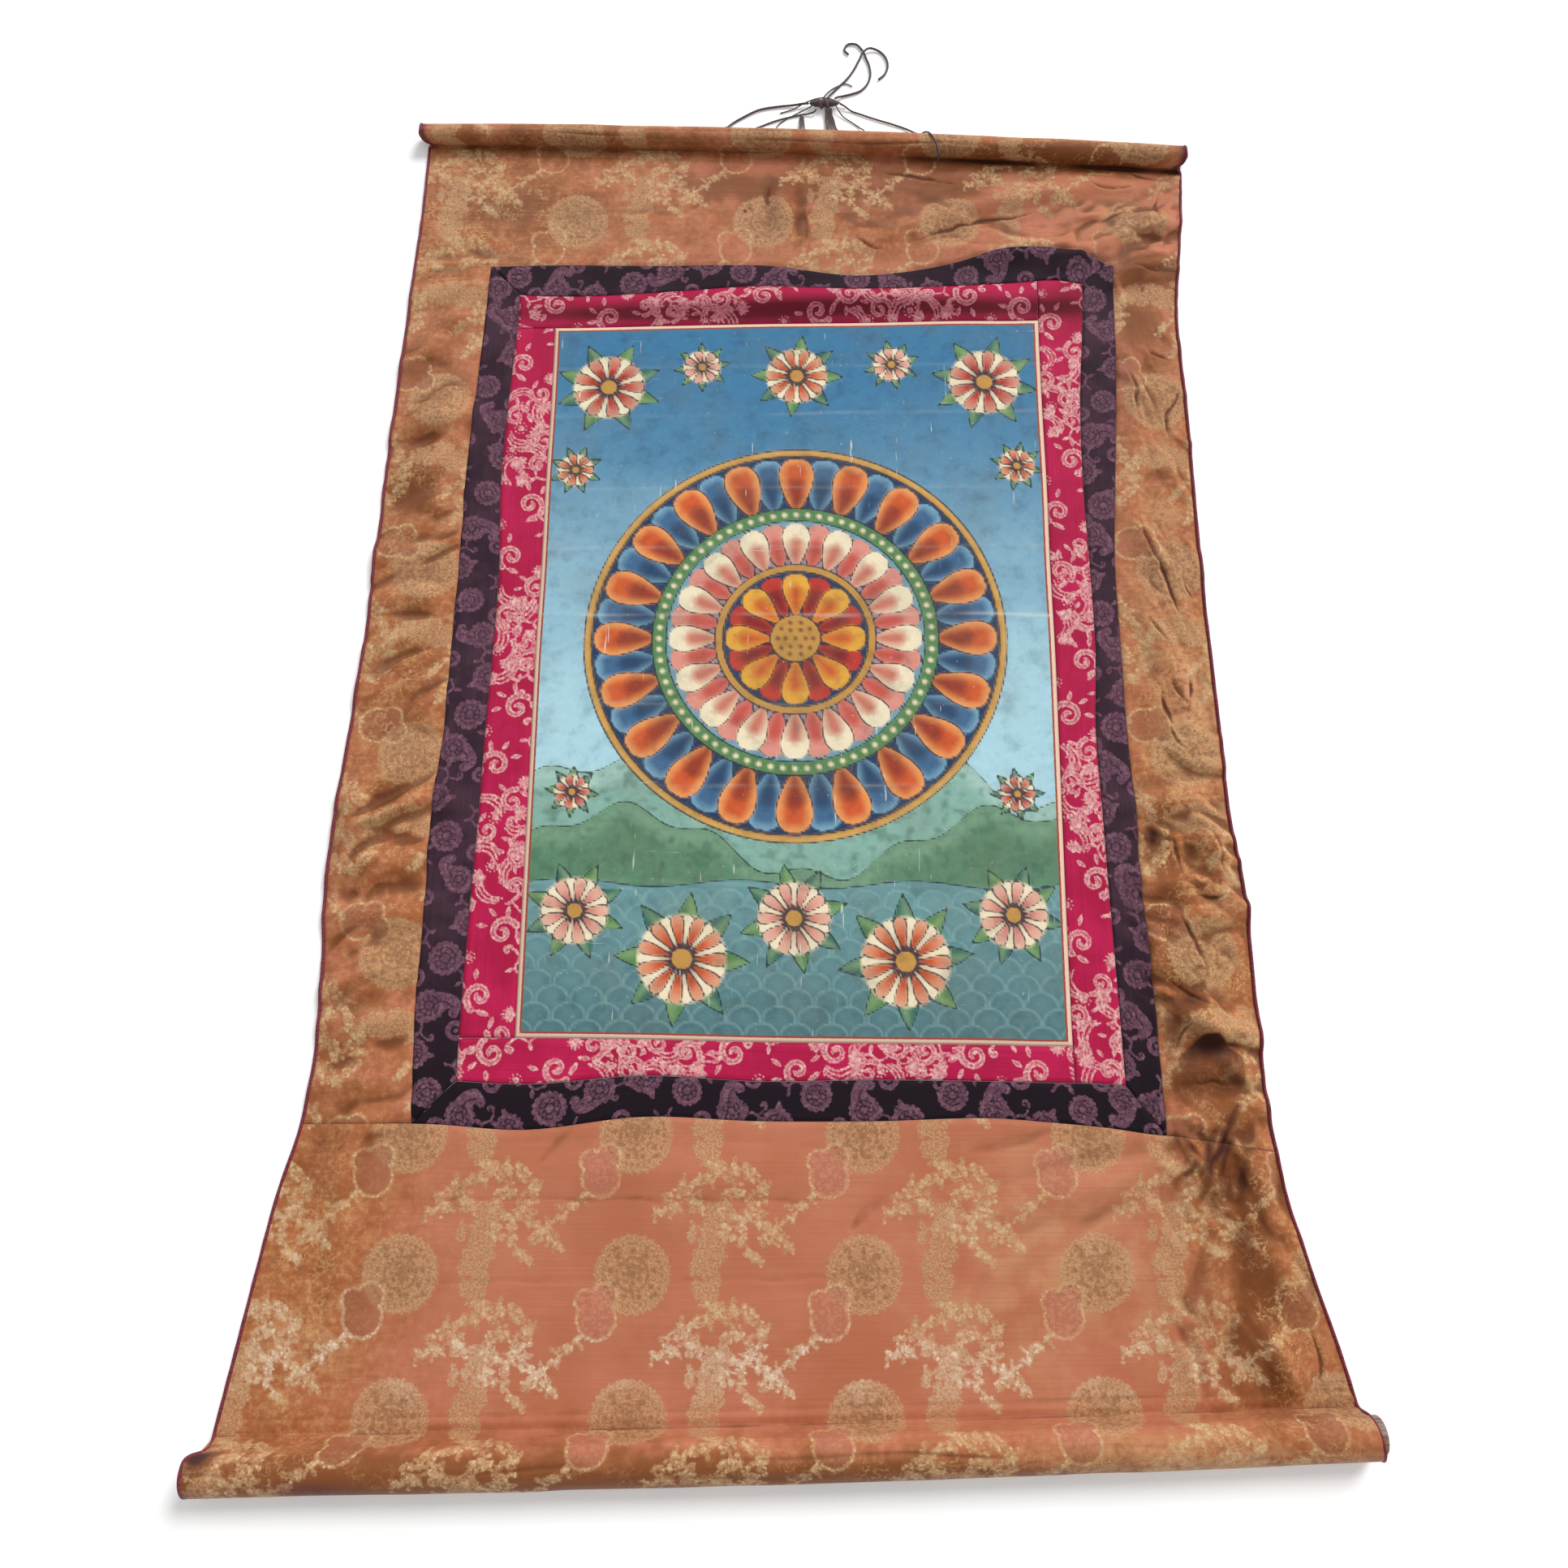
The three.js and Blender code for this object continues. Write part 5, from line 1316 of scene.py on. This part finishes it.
# %% Outer strip figures
medallion = np.concatenate([disc(0, 0, 10), ring(0, 0, 10.2, 15, 2.3), stem([(0, 9), (0, 13), (0, 16)], 3.6, 1.2)])
medallion_lines = np.concatenate([ring(0, 0, 7.6, 40, 0.75), ring(0, 0, 3.6, 20, 0.9), ring(0, 0, 5.6, 9, 0.8, 20)])
boteh = np.concatenate([disc(0, -7, 10), ring(0, -7, 10.4, 15, 2.2), ring(13, 8, 2.6, 8, 1.4),
                        stem([(0, -4), (2, 6), (7, 12), (13, 10)], 9, 2.4)])
boteh_lines = np.concatenate([ring(0, -7, 7.4, 36, 0.75), ring(0, -7, 3.4, 18, 0.9),
                              stem([(0, 0), (3, 6), (8, 9)], 0.9, 0.7), ring(0, -7, 5.4, 9, 0.8)])
small_ring = np.concatenate([ring(0, 0, 5.4, 26, 1.9), disc(0, 0, 1.7)])
twig = np.concatenate([stem([(-8, -4), (-2, 1), (4, 0), (9, 5)], 1.1, 0.8), leaf(-4, 0, 8, 3.4, 110),
                       leaf(3, 0, 8, 3.4, -60), curl(9, 5, 3.4, 1.0, 2.0, -50)])
FIGURE_REPEAT = 96.0
# each figure, its dark lines, its place along in millimetres and across as a share of the width
FIGURE_ROW = ((medallion, medallion_lines, 0, 0.10), (boteh, boteh_lines, 30, -0.05), (small_ring, None, 50, 0.42),
              (twig, None, 48, -0.30), (medallion, medallion_lines, 66, -0.46), (twig, None, 80, 0.38),
              (small_ring, None, 14, -0.48), (twig, None, 14, 0.48))


def strip_figures(length, wide, seed):
    """One row of figures, repeated along the strip, each nudged, turned and scaled a little. Returns the figures
    and the dark lines inside them."""
    rng = np.random.default_rng(seed)
    figures, inner = [], []
    for start in np.arange(-rng.uniform(0, FIGURE_REPEAT), length + 20, FIGURE_REPEAT):
        flip = rng.choice((-1, 1))
        for figure, marks, along, side in FIGURE_ROW:
            place = (start + along + rng.uniform(-2, 2), flip * side * wide + rng.uniform(-1.5, 1.5))
            turn, size = rng.uniform(-40, 40) + 180 * (flip < 0), rng.uniform(0.85, 1.05)
            figures.append(moved(figure, *place, turn, size))
            if marks is not None:
                inner.append(moved(marks, *place, turn, size))
    return figures, inner

# %% Outer strip material
aubergine, tree, shader, cloth, threads, dirt = new_cloth("aubergine_silk", 4200.0, 24.0)
fray = jitter(tree, cloth, 480.0, 2.2)
mask = frayed(tree, "figure", fray, 0.4, -0.4)
inner = frayed(tree, "inner", fray, 0.45, -0.35, 1.0, 0.3)
inner = remap(tree, sums(tree, 1.3, inner, "SUBTRACT"), 0.4, 1.0, 1.0, 0.25)
thread_shade = remap(tree, noise(tree, cloth, 520.0, 2.0, 0.7), 0.34, 0.6, 0.5, 1.0)
mauve = blend(tree, dirt["Fine"], (102, 66, 84), (134, 94, 110))
# The last layer is painted shade from the hollow value, in troughs and along the seams.
base = layered(
    tree, blend(tree, dirt["Wide"], (52, 33, 45), (74, 49, 62)),
    (painted(tree, "dusk"), (26, 15, 24)), (times(tree, threads["Slub"], 0.35), (34, 22, 36)),
    (times(tree, times(tree, mask, thread_shade), inner), mauve),
    (remap(tree, painted(tree, "hollow"), 0.15, 1.0, 0.0, 0.85), (20, 12, 20)))
dress(tree, shader, base, sums(tree, threads["Height"], mask), 0.35, 0.25,
      {"Roughness": 0.7, "Specular IOR Level": 0.12})

# %% Outer strips
STRIP_STEP = 1.3 * MM
top, bottom = (across["outer_top"], across["inner_top"]), (across["outer_bottom"], across["inner_bottom"])
left, right = (down["outer_left"], down["inner_left"]), (down["outer_right"], down["inner_right"])
OUTER_STRIPS = {
    "outer_strip_top": (slanted(*left), slanted(*right), plain(top[0]), plain(top[1]), True),
    "outer_strip_bottom": (slanted(*left[::-1]), slanted(*right[::-1]), plain(bottom[1]), plain(bottom[0]), True),
    "outer_strip_left": (plain(left[0]), plain(left[1]), slanted(*top), slanted(*bottom), False),
    "outer_strip_right": (plain(right[1]), plain(right[0]), slanted(*top[::-1]), slanted(*bottom[::-1]), False),
}


def strip_map(sheet, lengthwise_x):
    """Cloth map of a strip: metres along it from its start, and metres across it from its middle."""
    x, y = sheet["x"], sheet["y"]
    if lengthwise_x:
        return np.stack([x - x.min(), y - y.mean(axis=0, keepdims=True)], axis=-1)
    return np.stack([y.max() - y, x - x.mean(axis=1, keepdims=True)], axis=-1)


def sew_strip(name, lines, lengthwise, draw, seed, dusk, material):
    """Lays a strip between its lines, draws its figures with the marks inside them, and darkens it by its dusk."""
    sheet = lay_sheet(*lines, STRIP_STEP)
    cloth = strip_map(sheet, lengthwise)
    u, v = cloth[..., 0] / MM, cloth[..., 1] / MM
    figures, inner = draw(u.max(), np.ptp(v), seed)
    values = {"figure": stitch_distance(u, v, figures), "inner": stitch_distance(u, v, inner),
              "dusk": dusk(sheet["x"], sheet["y"])}
    finish_sheet(name, sheet, cloth, values, material)


def outer_dusk(x, y):
    """The outer strips are darker towards the foot and along the head."""
    return np.maximum(ease((-0.14 - y) / 0.16), 0.6 * ease((y - 0.37) / 0.02))


for seed, (name, (*lines, lengthwise)) in enumerate(OUTER_STRIPS.items()):
    sew_strip(name, lines, lengthwise, strip_figures, 40 + seed, outer_dusk, aubergine)

# %% [markdown]
# ## The inner strips
# Magenta silk with pale leafy scrolls. Dense patches of scrolls take turns with nearly plain cloth, as in a wide
# pattern cut into narrow strips. The two side strips and the two end strips meet with straight seams.

# %% Inner strip figures
acanthus = np.concatenate([curl(13, 0, 12, 1.25, 5.4, 0), leaf(12, -3, 13, 4.6, -105), leaf(9, 8, 11, 4.2, 60),
                           leaf(2, 13, 10, 4, 105), leaf(-7, 10, 10, 4, 150), disc(3, -1, 2.2)])
acanthus_core = np.concatenate([curl(13, 0, 12, 1.25, 2.0, 0), leaf(12, -5, 9, 1.6, -105), leaf(9, 10, 7, 1.5, 60),
                                leaf(2, 15, 6, 1.5, 105), leaf(-8, 11, 7, 1.5, 150)])
shell = np.concatenate([leaf(0, 0, 15 - abs(i) * 1.6, 3.3, 90 + 22 * i) for i in range(-3, 4)] + [disc(0, 0, 2.4)])
tendril = np.concatenate([stem([(-15, -3), (-5, 3), (5, -2), (15, 4)], 1.5, 0.9), curl(15, 4, 5, 1.1, 2.8, -60),
                          curl(-15, -3, 5, 1.1, 2.8, 120), leaf(-4, 3, 10, 4, 80), leaf(5, -2, 10, 4, -80)])
ripple = np.concatenate([stem([(-14, up - 6), (-4, up + 2), (6, up + 3), (14, up - 3)], 1.2, 0.9)
                         for up in (0, 4.2, 8.4)])
bead = np.concatenate([disc(0, 0, 3.0), ring(0, 0, 5.6, 9, 1.0)])
PATCH_REPEAT, PATCH_LENGTH = 176.0, 84.0
PATCH = (acanthus, ripple, shell, bead, ripple, acanthus, tendril, bead, shell, ripple, acanthus, bead, ripple, shell,
         acanthus, ripple, tendril, shell)


def scroll_patches(length, wide, seed):
    """Along a strip, a close patch of scrolls, then plain cloth with two lone scrolls and a tendril on its edge.
    Returns the figures and the ground-coloured cores of the scrolls."""
    rng = np.random.default_rng(seed)
    figures, cores = [], []

    def add(shape, *place):
        figures.append(moved(shape, *place))
        if shape is acanthus:
            cores.append(moved(acanthus_core, *place))

    for start in np.arange(-rng.uniform(20, PATCH_REPEAT), length + 20, PATCH_REPEAT):
        for j, shape in enumerate(PATCH):
            place = start + PATCH_LENGTH * (j + rng.uniform(0.2, 0.8)) / len(PATCH)
            add(shape, place, (-1) ** j * rng.uniform(0.08, 0.4) * wide, rng.uniform(0, 360), rng.uniform(0.7, 0.9))
        for along, side, flip in ((104, 0.14, 1), (150, -0.16, -1)):
            add(acanthus, start + along, side * wide, rng.uniform(-60, 60) + 90, 0.95, flip)
        add(tendril, start + 126, 0.46 * wide, rng.uniform(-15, 15), 0.8)
        add(shell, start + 164, 0.46 * wide, 180, 0.7)
        add(bead, start + 122, -0.42 * wide, 0, 0.8)
    return figures, cores

# %% Inner strip material
magenta, tree, shader, cloth, threads, dirt = new_cloth("magenta_silk", 4200.0, 20.0)
fray = jitter(tree, cloth, 520.0, 1.9)
mask = frayed(tree, "figure", fray, 0.35, -0.35)
core = frayed(tree, "inner", fray, 0.4, -0.3, 1.0, 0.35)
veins = remap(tree, noise(tree, stretched(tree, cloth, 300.0, 460.0), 1.0, 2.0, 0.6), 0.36, 0.56, 0.4, 0.95)
# The dusk value is painted shade along the top strip's fold: it darkens both the ground and the pale figures. The
# last layer is painted shade from the hollow value.
dusk = painted(tree, "dusk")
pale = layered(tree, blend(tree, dirt["Fine"], (214, 150, 152), (238, 198, 188)), (dusk, (178, 100, 112)))
base = layered(
    tree, blend(tree, dirt["Wide"], (172, 18, 66), (194, 28, 82)),
    (times(tree, threads["Slub"], 0.3), (132, 10, 46)), (dusk, (92, 0, 22)),
    (times(tree, times(tree, mask, veins), core), pale),
    (remap(tree, painted(tree, "hollow"), 0.15, 1.0, 0.0, 0.75), (66, 4, 24)))
dress(tree, shader, base, sums(tree, threads["Height"], mask), 0.35, 0.25,
      {"Roughness": 0.6, "Specular IOR Level": 0.15})

# %% Inner strips
INNER_STRIPS = {
    "inner_strip_top": ("inner_left", "picture_right", "inner_top", "picture_top", True),
    "inner_strip_bottom": ("inner_left", "picture_right", "picture_bottom", "inner_bottom", True),
    "inner_strip_left": ("inner_left", "picture_left", "picture_top", "picture_bottom", False),
    "inner_strip_right": ("picture_right", "inner_right", "inner_top", "inner_bottom", False),
}
# Painted shade in a band along the top strip's fold, where it faces away from the sun
FOLD_SHADES = np.array([(120, 366, 190, 10, 1.1), (-110, 360, 140, 9, 1.1), (240, 372, 30, 20, 0.4)])


def inner_fold_shade(x, y):
    return blotches(FOLD_SHADES, x, y)


for seed, (name, (start, end, upper, lower, lengthwise)) in enumerate(INNER_STRIPS.items()):
    lines = [plain(line) for line in (down[start], down[end], across[upper], across[lower])]
    sew_strip(name, lines, lengthwise, scroll_patches, 60 + seed, inner_fold_shade, magenta)

# %% [markdown]
# ## The picture
# The middle sheet carries a painted flower medallion over hills and water, in mineral colours. Each colour is
# laid over the last where a distance says so, just as a painter fills an outline, and the result is stored as
# one colour for each point. The material adds what the grid is too coarse for: brush grain, scratches, flakes
# and the pale lines where the sheet was rolled and creased.

# %% Painting tools
BRUSH_EDGE = 1.4


def pigment(shade):
    return np.array(colour(*shade))[:3]


def cover(canvas, shade, distance, soft=BRUSH_EDGE, strength=1.0):
    """Lays a colour over the canvas inside a distance field, with an edge as soft as a brush line."""
    share = (strength * np.clip(0.5 - distance / soft, 0, 1))[..., None]
    canvas["paint"][...] = mix(canvas["paint"], pigment(shade), share)


def outlined(canvas, shade, distance):
    """A filled shape. It clears the ink lines under it and adds its own edge to them."""
    cover(canvas, shade, distance)
    canvas["ink"][...] = np.minimum(np.where(distance < 0, FAR, canvas["ink"]), np.abs(distance))


def petal_ring(radius, angle, count, inner, outer, plump, shift=0.0):
    """Distance to a ring of petals: a petal is widest past its middle and comes to a soft point outside."""
    sector = 2 * np.pi / count
    local = (angle + shift * sector + sector / 2) % sector - sector / 2
    t = (radius - inner) / (outer - inner)
    half = plump * 0.5 * sector * np.sqrt(np.clip(t, 0, 1)) * np.sqrt(np.clip(1 - t**3, 0, 1))
    across_petal = (np.abs(local) - half) * np.maximum(radius, 1)
    return np.maximum(across_petal, np.maximum(inner - radius, radius - outer))

# %% Sky, hills and water
SKY = ((54, 114, 156), (164, 206, 220))
WATER = ((96, 142, 148), (58, 98, 108))
DEEP_BLUE, GOLD_PAINT, ORANGE, RED = (26, 52, 88), (186, 138, 68), (200, 84, 38), (182, 52, 42)
CREAM, LEAF_GREEN, PALE_BLUE, ROSE = (232, 218, 188), (82, 126, 78), (112, 158, 186), (212, 138, 126)
WAVE_LINE, BUSHES, PALE_LEAF, DARK_LEAF = (150, 186, 190), (60, 100, 82), (150, 182, 132), (52, 100, 88)
SEEDS, YELLOW = (104, 56, 36), (220, 160, 58)
MEDALLION = (206.0, 318.0)
PICTURE_EDGE = 3.0
HILLS = (
    # level, height and width of the long waves, height and width of the short ones, shade, crest
    (196, 20, 38, 9, 13, (126, 170, 160), (168, 202, 196)), (150, 26, 47, 6, 11, (84, 126, 100), (122, 160, 134)))
SHORE, WAVE_ROWS, WAVE_WIDE, WAVE_TALL = 118, 9, 26, 12.5


def paint_ground(canvas, u, v):
    """Sky from deep to pale with soft drifts, then rows of hills, then the water with its scale-shaped waves."""
    drift = 26 * soft_noise(u * 0.4, v, 40.0, 70)
    canvas["paint"][...] = mix(pigment(SKY[1]), pigment(SKY[0]), ease((v + drift - 190) / 380)[..., None])
    clump = soft_noise(u, v, 7.0, 71) + 0.5 * soft_noise(u, v, 3.4, 72)
    for level, tall, wide, small, narrow, shade, crest in HILLS:
        hill = v - (level + tall * np.sin(u / wide) + small * np.sin(u / narrow + 1))
        outlined(canvas, shade, hill)
        cover(canvas, crest, np.maximum(hill, -14 - hill), 12.0, 0.6)
        cover(canvas, BUSHES, np.maximum(hill + 5, 6 * (0.55 - clump)), 4.0, 0.5)
    water = v - SHORE - 3 * np.sin(u / 21)
    flat_water = mix(pigment(WATER[1]), pigment(WATER[0]), np.clip(v / SHORE, 0, 1)[..., None])
    outlined(canvas, WATER[0], water)
    canvas["paint"][...] = mix(canvas["paint"], flat_water, np.clip(0.5 - water / BRUSH_EDGE, 0, 1)[..., None])
    for row in range(WAVE_ROWS):
        shift, level = 0.5 * (row % 2), WAVE_TALL * row
        centre = (np.round(u / WAVE_WIDE + shift) - shift) * WAVE_WIDE
        arc = np.hypot(u - centre, (v - 4 - level) * 1.25)
        scale = np.where((v > 2 + level) & (water < -2), np.abs(arc - 12) - 0.5, FAR)
        cover(canvas, WAVE_LINE, scale, 2.2, 0.5)
        cover(canvas, WAVE_LINE, np.where(water < -2, arc - 8, FAR), 10.0, 0.12)

# %% Medallion and flowers
def paint_petals(canvas, radius, angle, ring_of, foot, layers):
    """Two layers of petals, the second between the first. Each petal has its edge, its middle and its foot."""
    count, *body = ring_of
    *foot, soft, strength = foot
    for shift, (edge, middle, deep) in zip((0.5, 0.0), layers):
        petals = petal_ring(radius, angle, count, *body, shift)
        outlined(canvas, edge, petals)
        cover(canvas, middle, petals + 5, 7.0)
        cover(canvas, deep, petal_ring(radius, angle, count, *foot, shift), soft, strength)


def paint_medallion(canvas, u, v):
    """Rings of petals round one middle, from the outside in. Every petal deepens in colour towards its foot."""
    radius = np.hypot(u - MEDALLION[0], v - MEDALLION[1])
    angle = np.arctan2(v - MEDALLION[1], u - MEDALLION[0])
    outlined(canvas, GOLD_PAINT, radius - 168)
    cover(canvas, (222, 182, 110), np.abs(radius - 165.5) - 0.6, 2.4, 0.7)
    outlined(canvas, DEEP_BLUE, radius - 162)
    paint_petals(canvas, radius, angle, (20, 112, 160, 0.94), (110, 142, 0.5, 9.0, 0.8),
                 ((PALE_BLUE, (58, 98, 138), DEEP_BLUE), ((226, 150, 88), ORANGE, (124, 40, 30))))
    outlined(canvas, LEAF_GREEN, radius - 114)
    cover(canvas, CREAM, np.hypot((angle * 36 / np.pi + 0.5) % 1 * 9.6 - 4.8, radius - 108.5) - 2.0, 1.8)
    outlined(canvas, (112, 152, 168), radius - 103)
    paint_petals(canvas, radius, angle, (16, 62, 101, 0.96), (58, 88, 0.62, 9.0, 0.8),
                 ((ROSE, ROSE, RED), (CREAM, CREAM, RED)))
    outlined(canvas, GOLD_PAINT, radius - 64)
    outlined(canvas, DEEP_BLUE, radius - 58)
    paint_petals(canvas, radius, angle, (8, 16, 56, 0.95), (12, 46, 0.6, 10.0, 0.9),
                 ((RED, RED, (110, 24, 28)), (YELLOW, YELLOW, (190, 70, 30))))
    outlined(canvas, GOLD_PAINT, radius - 20)
    for count, reach in ((10, 14), (6, 8), (1, 0)):
        seed_angle = (angle * count / (2 * np.pi) + 0.5) % 1 - 0.5
        seeds = np.hypot(seed_angle * 2 * np.pi / count * reach, radius - reach) if reach else radius
        cover(canvas, SEEDS, seeds - 1.6, 2.0)


def paint_flower(canvas, u, v, x, y, size, shade, count):
    """An open flower: two rings of petals and a gold heart."""
    radius, angle = np.hypot(u - x, v - y), np.arctan2(v - y, u - x)
    for shift, tone in ((0.5, CREAM), (0.0, shade)):
        outlined(canvas, tone, petal_ring(radius, angle, count, 0.18 * size, size, 0.95, shift))
    cover(canvas, CREAM, 0.78 * size - radius, 0.5 * size, 0.45 * (1 - np.clip((radius - size) * 2, 0, 1)))
    cover(canvas, (120, 30, 34), radius - 0.4 * size, 0.5 * size, 0.7)
    outlined(canvas, GOLD_PAINT, radius - 0.24 * size)


def paint_leaf(canvas, u, v, x, y, length, width, turn, shade):
    """A pointed leaf with a pale rib: half as wide as a sine wave along its length."""
    along, off = turned_axes(u - x, v - y, turn)
    t = np.clip(along / length, 0, 1)
    body = np.maximum(np.abs(off) - 0.5 * width * np.sin(np.pi * t), np.maximum(-along, along - length))
    outlined(canvas, shade, body)
    cover(canvas, PALE_LEAF, np.maximum(body + 0.12 * width, off), 0.4 * width, 0.55)

# %% The whole picture
# x and y of the middle, size, shade, number of petals
FLOWERS = ((48, 548, 30, RED, 9), (364, 548, 30, RED, 9), (206, 556, 26, ORANGE, 10), (126, 566, 16, ROSE, 7),
           (286, 566, 16, ROSE, 7), (40, 96, 26, ROSE, 9), (372, 96, 26, ROSE, 9), (122, 60, 34, ORANGE, 11),
           (290, 60, 34, ORANGE, 11), (206, 92, 28, ROSE, 10), (24, 470, 15, ORANGE, 7), (388, 470, 15, ORANGE, 7),
           (34, 190, 14, RED, 7), (378, 190, 14, RED, 7))
LEAF_TURNS = (20, 65, 115, 160, 200, 245, 295, 340)


def paint_picture(u, v, wide, long):
    """The whole sheet: ground, flowers with their leaves, medallion, then the bare cream edge and its red line."""
    canvas = {"paint": np.empty((*u.shape, 3)), "ink": np.full(u.shape, FAR)}
    paint_ground(canvas, u, v)
    for i, (x, y, size, shade, petals) in enumerate(FLOWERS):
        for j, turn in enumerate(LEAF_TURNS):
            green = LEAF_GREEN if (i + j) % 2 else DARK_LEAF
            paint_leaf(canvas, u, v, x, y, 1.5 * size, 0.5 * size, turn + 9 * i, green)
        paint_flower(canvas, u, v, x, y, size, shade, petals)
    paint_medallion(canvas, u, v)
    inside = np.minimum(np.minimum(u, wide - u), np.minimum(v, long - v))
    paint = np.concatenate([canvas["paint"], np.ones((*u.shape, 1))], axis=-1)
    return {"paint": paint, "ink": np.where(inside > PICTURE_EDGE, canvas["ink"], FAR), "edge": inside}

# %% Picture material
paint_finish, tree, shader, cloth, threads, dirt = new_cloth("mineral_paint", 3000.0, 16.0)


def marks(along, across, detail, roughness, low, high, turn=0.0):
    """Marks drawn out one way: the peaks of stretched noise."""
    place = stretched(tree, cloth, along, across, turn=turn)
    return remap(tree, noise(tree, place, 1.0, detail, roughness), low, high)


grain, spots = noise(tree, cloth, 130.0, 5.0, 0.7), noise(tree, cloth, 55.0, 4.0, 0.65)
brush = jitter(tree, cloth, 300.0, 0.7)
ink = frayed(tree, "ink", brush, 0.95, 0.45, 0.0, 0.85)
rim = sums(tree, painted(tree, "edge"), brush)
wear = remap(tree, noise(tree, cloth, 200.0, 6.0, 0.8), 0.63, 0.68)
for scratches in (marks(150.0, 10.0, 3.0, 0.7, 0.69, 0.73), marks(170.0, 16.0, 3.0, 0.7, 0.68, 0.72, 0.9),
                  marks(4.0, 110.0, 5.0, 0.75, 0.67, 0.72)):
    wear = sums(tree, wear, scratches, "MAXIMUM")
base = blend(tree, remap(tree, grain, 0.3, 0.75, 0.0, 0.5), painted(tree, "paint", "Color"), (225, 216, 190),
             "SOFT_LIGHT")
base = blend(tree, remap(tree, spots, 0.45, 0.75, 0.0, 0.3), base, (40, 62, 74), "MULTIPLY")
# The last layer is painted shade from the hollow value, in troughs and along the seams.
base = layered(
    tree, base, (ink, (28, 32, 50)), (remap(tree, dirt["Wide"], 0.2, 1.0, 0.0, 0.14), (110, 104, 84)),
    (remap(tree, rim, 5.0, 4.2), (150, 66, 48)), (remap(tree, rim, 3.4, 2.8), (224, 190, 166)),
    (times(tree, wear, 0.62), (226, 224, 210)), (painted(tree, "rolled"), (212, 216, 206)),
    (remap(tree, painted(tree, "hollow"), 0.2, 1.0, 0.0, 0.6), (44, 36, 34)))
relief = sums(tree, times(tree, threads["Height"], 0.4), times(tree, wear, -0.8))
dress(tree, shader, base, relief, 0.3, 0.2, {"Roughness": 0.72, "Specular IOR Level": 0.3})

# %% Picture sheet
PICTURE_STEP = 1.62 * MM
ROLL_RISE = 0.5 * MM
# place up the sheet and strength of each line where it was rolled
ROLL_LINES = ((118, 0.12), (196, 0.2), (262, 0.12), (338, 0.55), (398, 0.15), (452, 0.1), (520, 0.15), (566, 0.1))
sheet = lay_sheet(plain(down["picture_left"]), plain(down["picture_right"]), plain(across["picture_top"]),
                  plain(across["picture_bottom"]), PICTURE_STEP)
wide, long = sheet["wide"] / MM, sheet["long"] / MM
u, v = sheet["f"] * wide, (1 - sheet["k"]) * long
cloth = np.stack([u, v], axis=-1) * MM
values, rolled = paint_picture(u, v, wide, long), np.zeros_like(u)
for seed, (at, strength) in enumerate(ROLL_LINES):
    line = bell(v - at - 1.5 * soft_noise(u, 0 * v, 60.0, 90 + seed), 1.3)
    rolled = np.maximum(rolled, strength * line * (0.5 + 0.5 * soft_noise(u, 0 * v, 22.0, 80 + seed)))
    sheet["points"][..., 2] += ROLL_RISE * line * strength
values["rolled"] = rolled
finish_sheet("picture", sheet, cloth, values, paint_finish)

# %% [markdown]
# ## Stage and light
# The scroll lies on a plain pale floor. A soft sun from the far right makes the shadows fall to the left and
# towards the viewer, and an even pale sky fills them.

# %% Floor, lamp and sky
FLOOR_HALF = 3.0
WHITE = (1.0, 1.0, 1.0, 1.0)
corners = [(x * FLOOR_HALF, y * FLOOR_HALF, 0) for x, y in ((-1, -1), (1, -1), (1, 1), (-1, 1))]
floor_mesh = bpy.data.meshes.new("floor")
floor_mesh.from_pydata(corners, [], [(0, 1, 2, 3)])
floor_finish, tree, shader = new_material("pale_floor")
shades = blend(tree, noise(tree, object_place(tree), 3.0), (246, 246, 246), (250, 250, 249))
fill(tree, shader, {"Base Color": shades, "Roughness": 0.9, "Emission Color": WHITE, "Emission Strength": 0.15})
floor_mesh.materials.append(floor_finish)
floor = bpy.data.objects.new("floor", floor_mesh)
bpy.context.collection.objects.link(floor)

SUN_FROM = np.array([0.50, 0.66, 0.68])
SUN_ENERGY, SUN_ANGLE = 3.0, math.radians(30)
SKY_STRENGTH = 0.5
sun_data = bpy.data.lights.new("soft_sun", "SUN")
sun_data.energy, sun_data.angle = SUN_ENERGY, SUN_ANGLE
sun = bpy.data.objects.new("soft_sun", sun_data)
tilt, bearing = math.acos(SUN_FROM[2] / np.linalg.norm(SUN_FROM)), math.atan2(SUN_FROM[1], SUN_FROM[0])
sun.rotation_euler = (tilt, 0, bearing + math.pi / 2)
bpy.context.collection.objects.link(sun)

world = bpy.data.worlds.new("pale_sky")
world.use_nodes = True
fill(world.node_tree, world.node_tree.nodes["Background"], {"Color": WHITE, "Strength": SKY_STRENGTH})
bpy.context.scene.world = world
bpy.context.scene.view_settings.view_transform = "Standard"
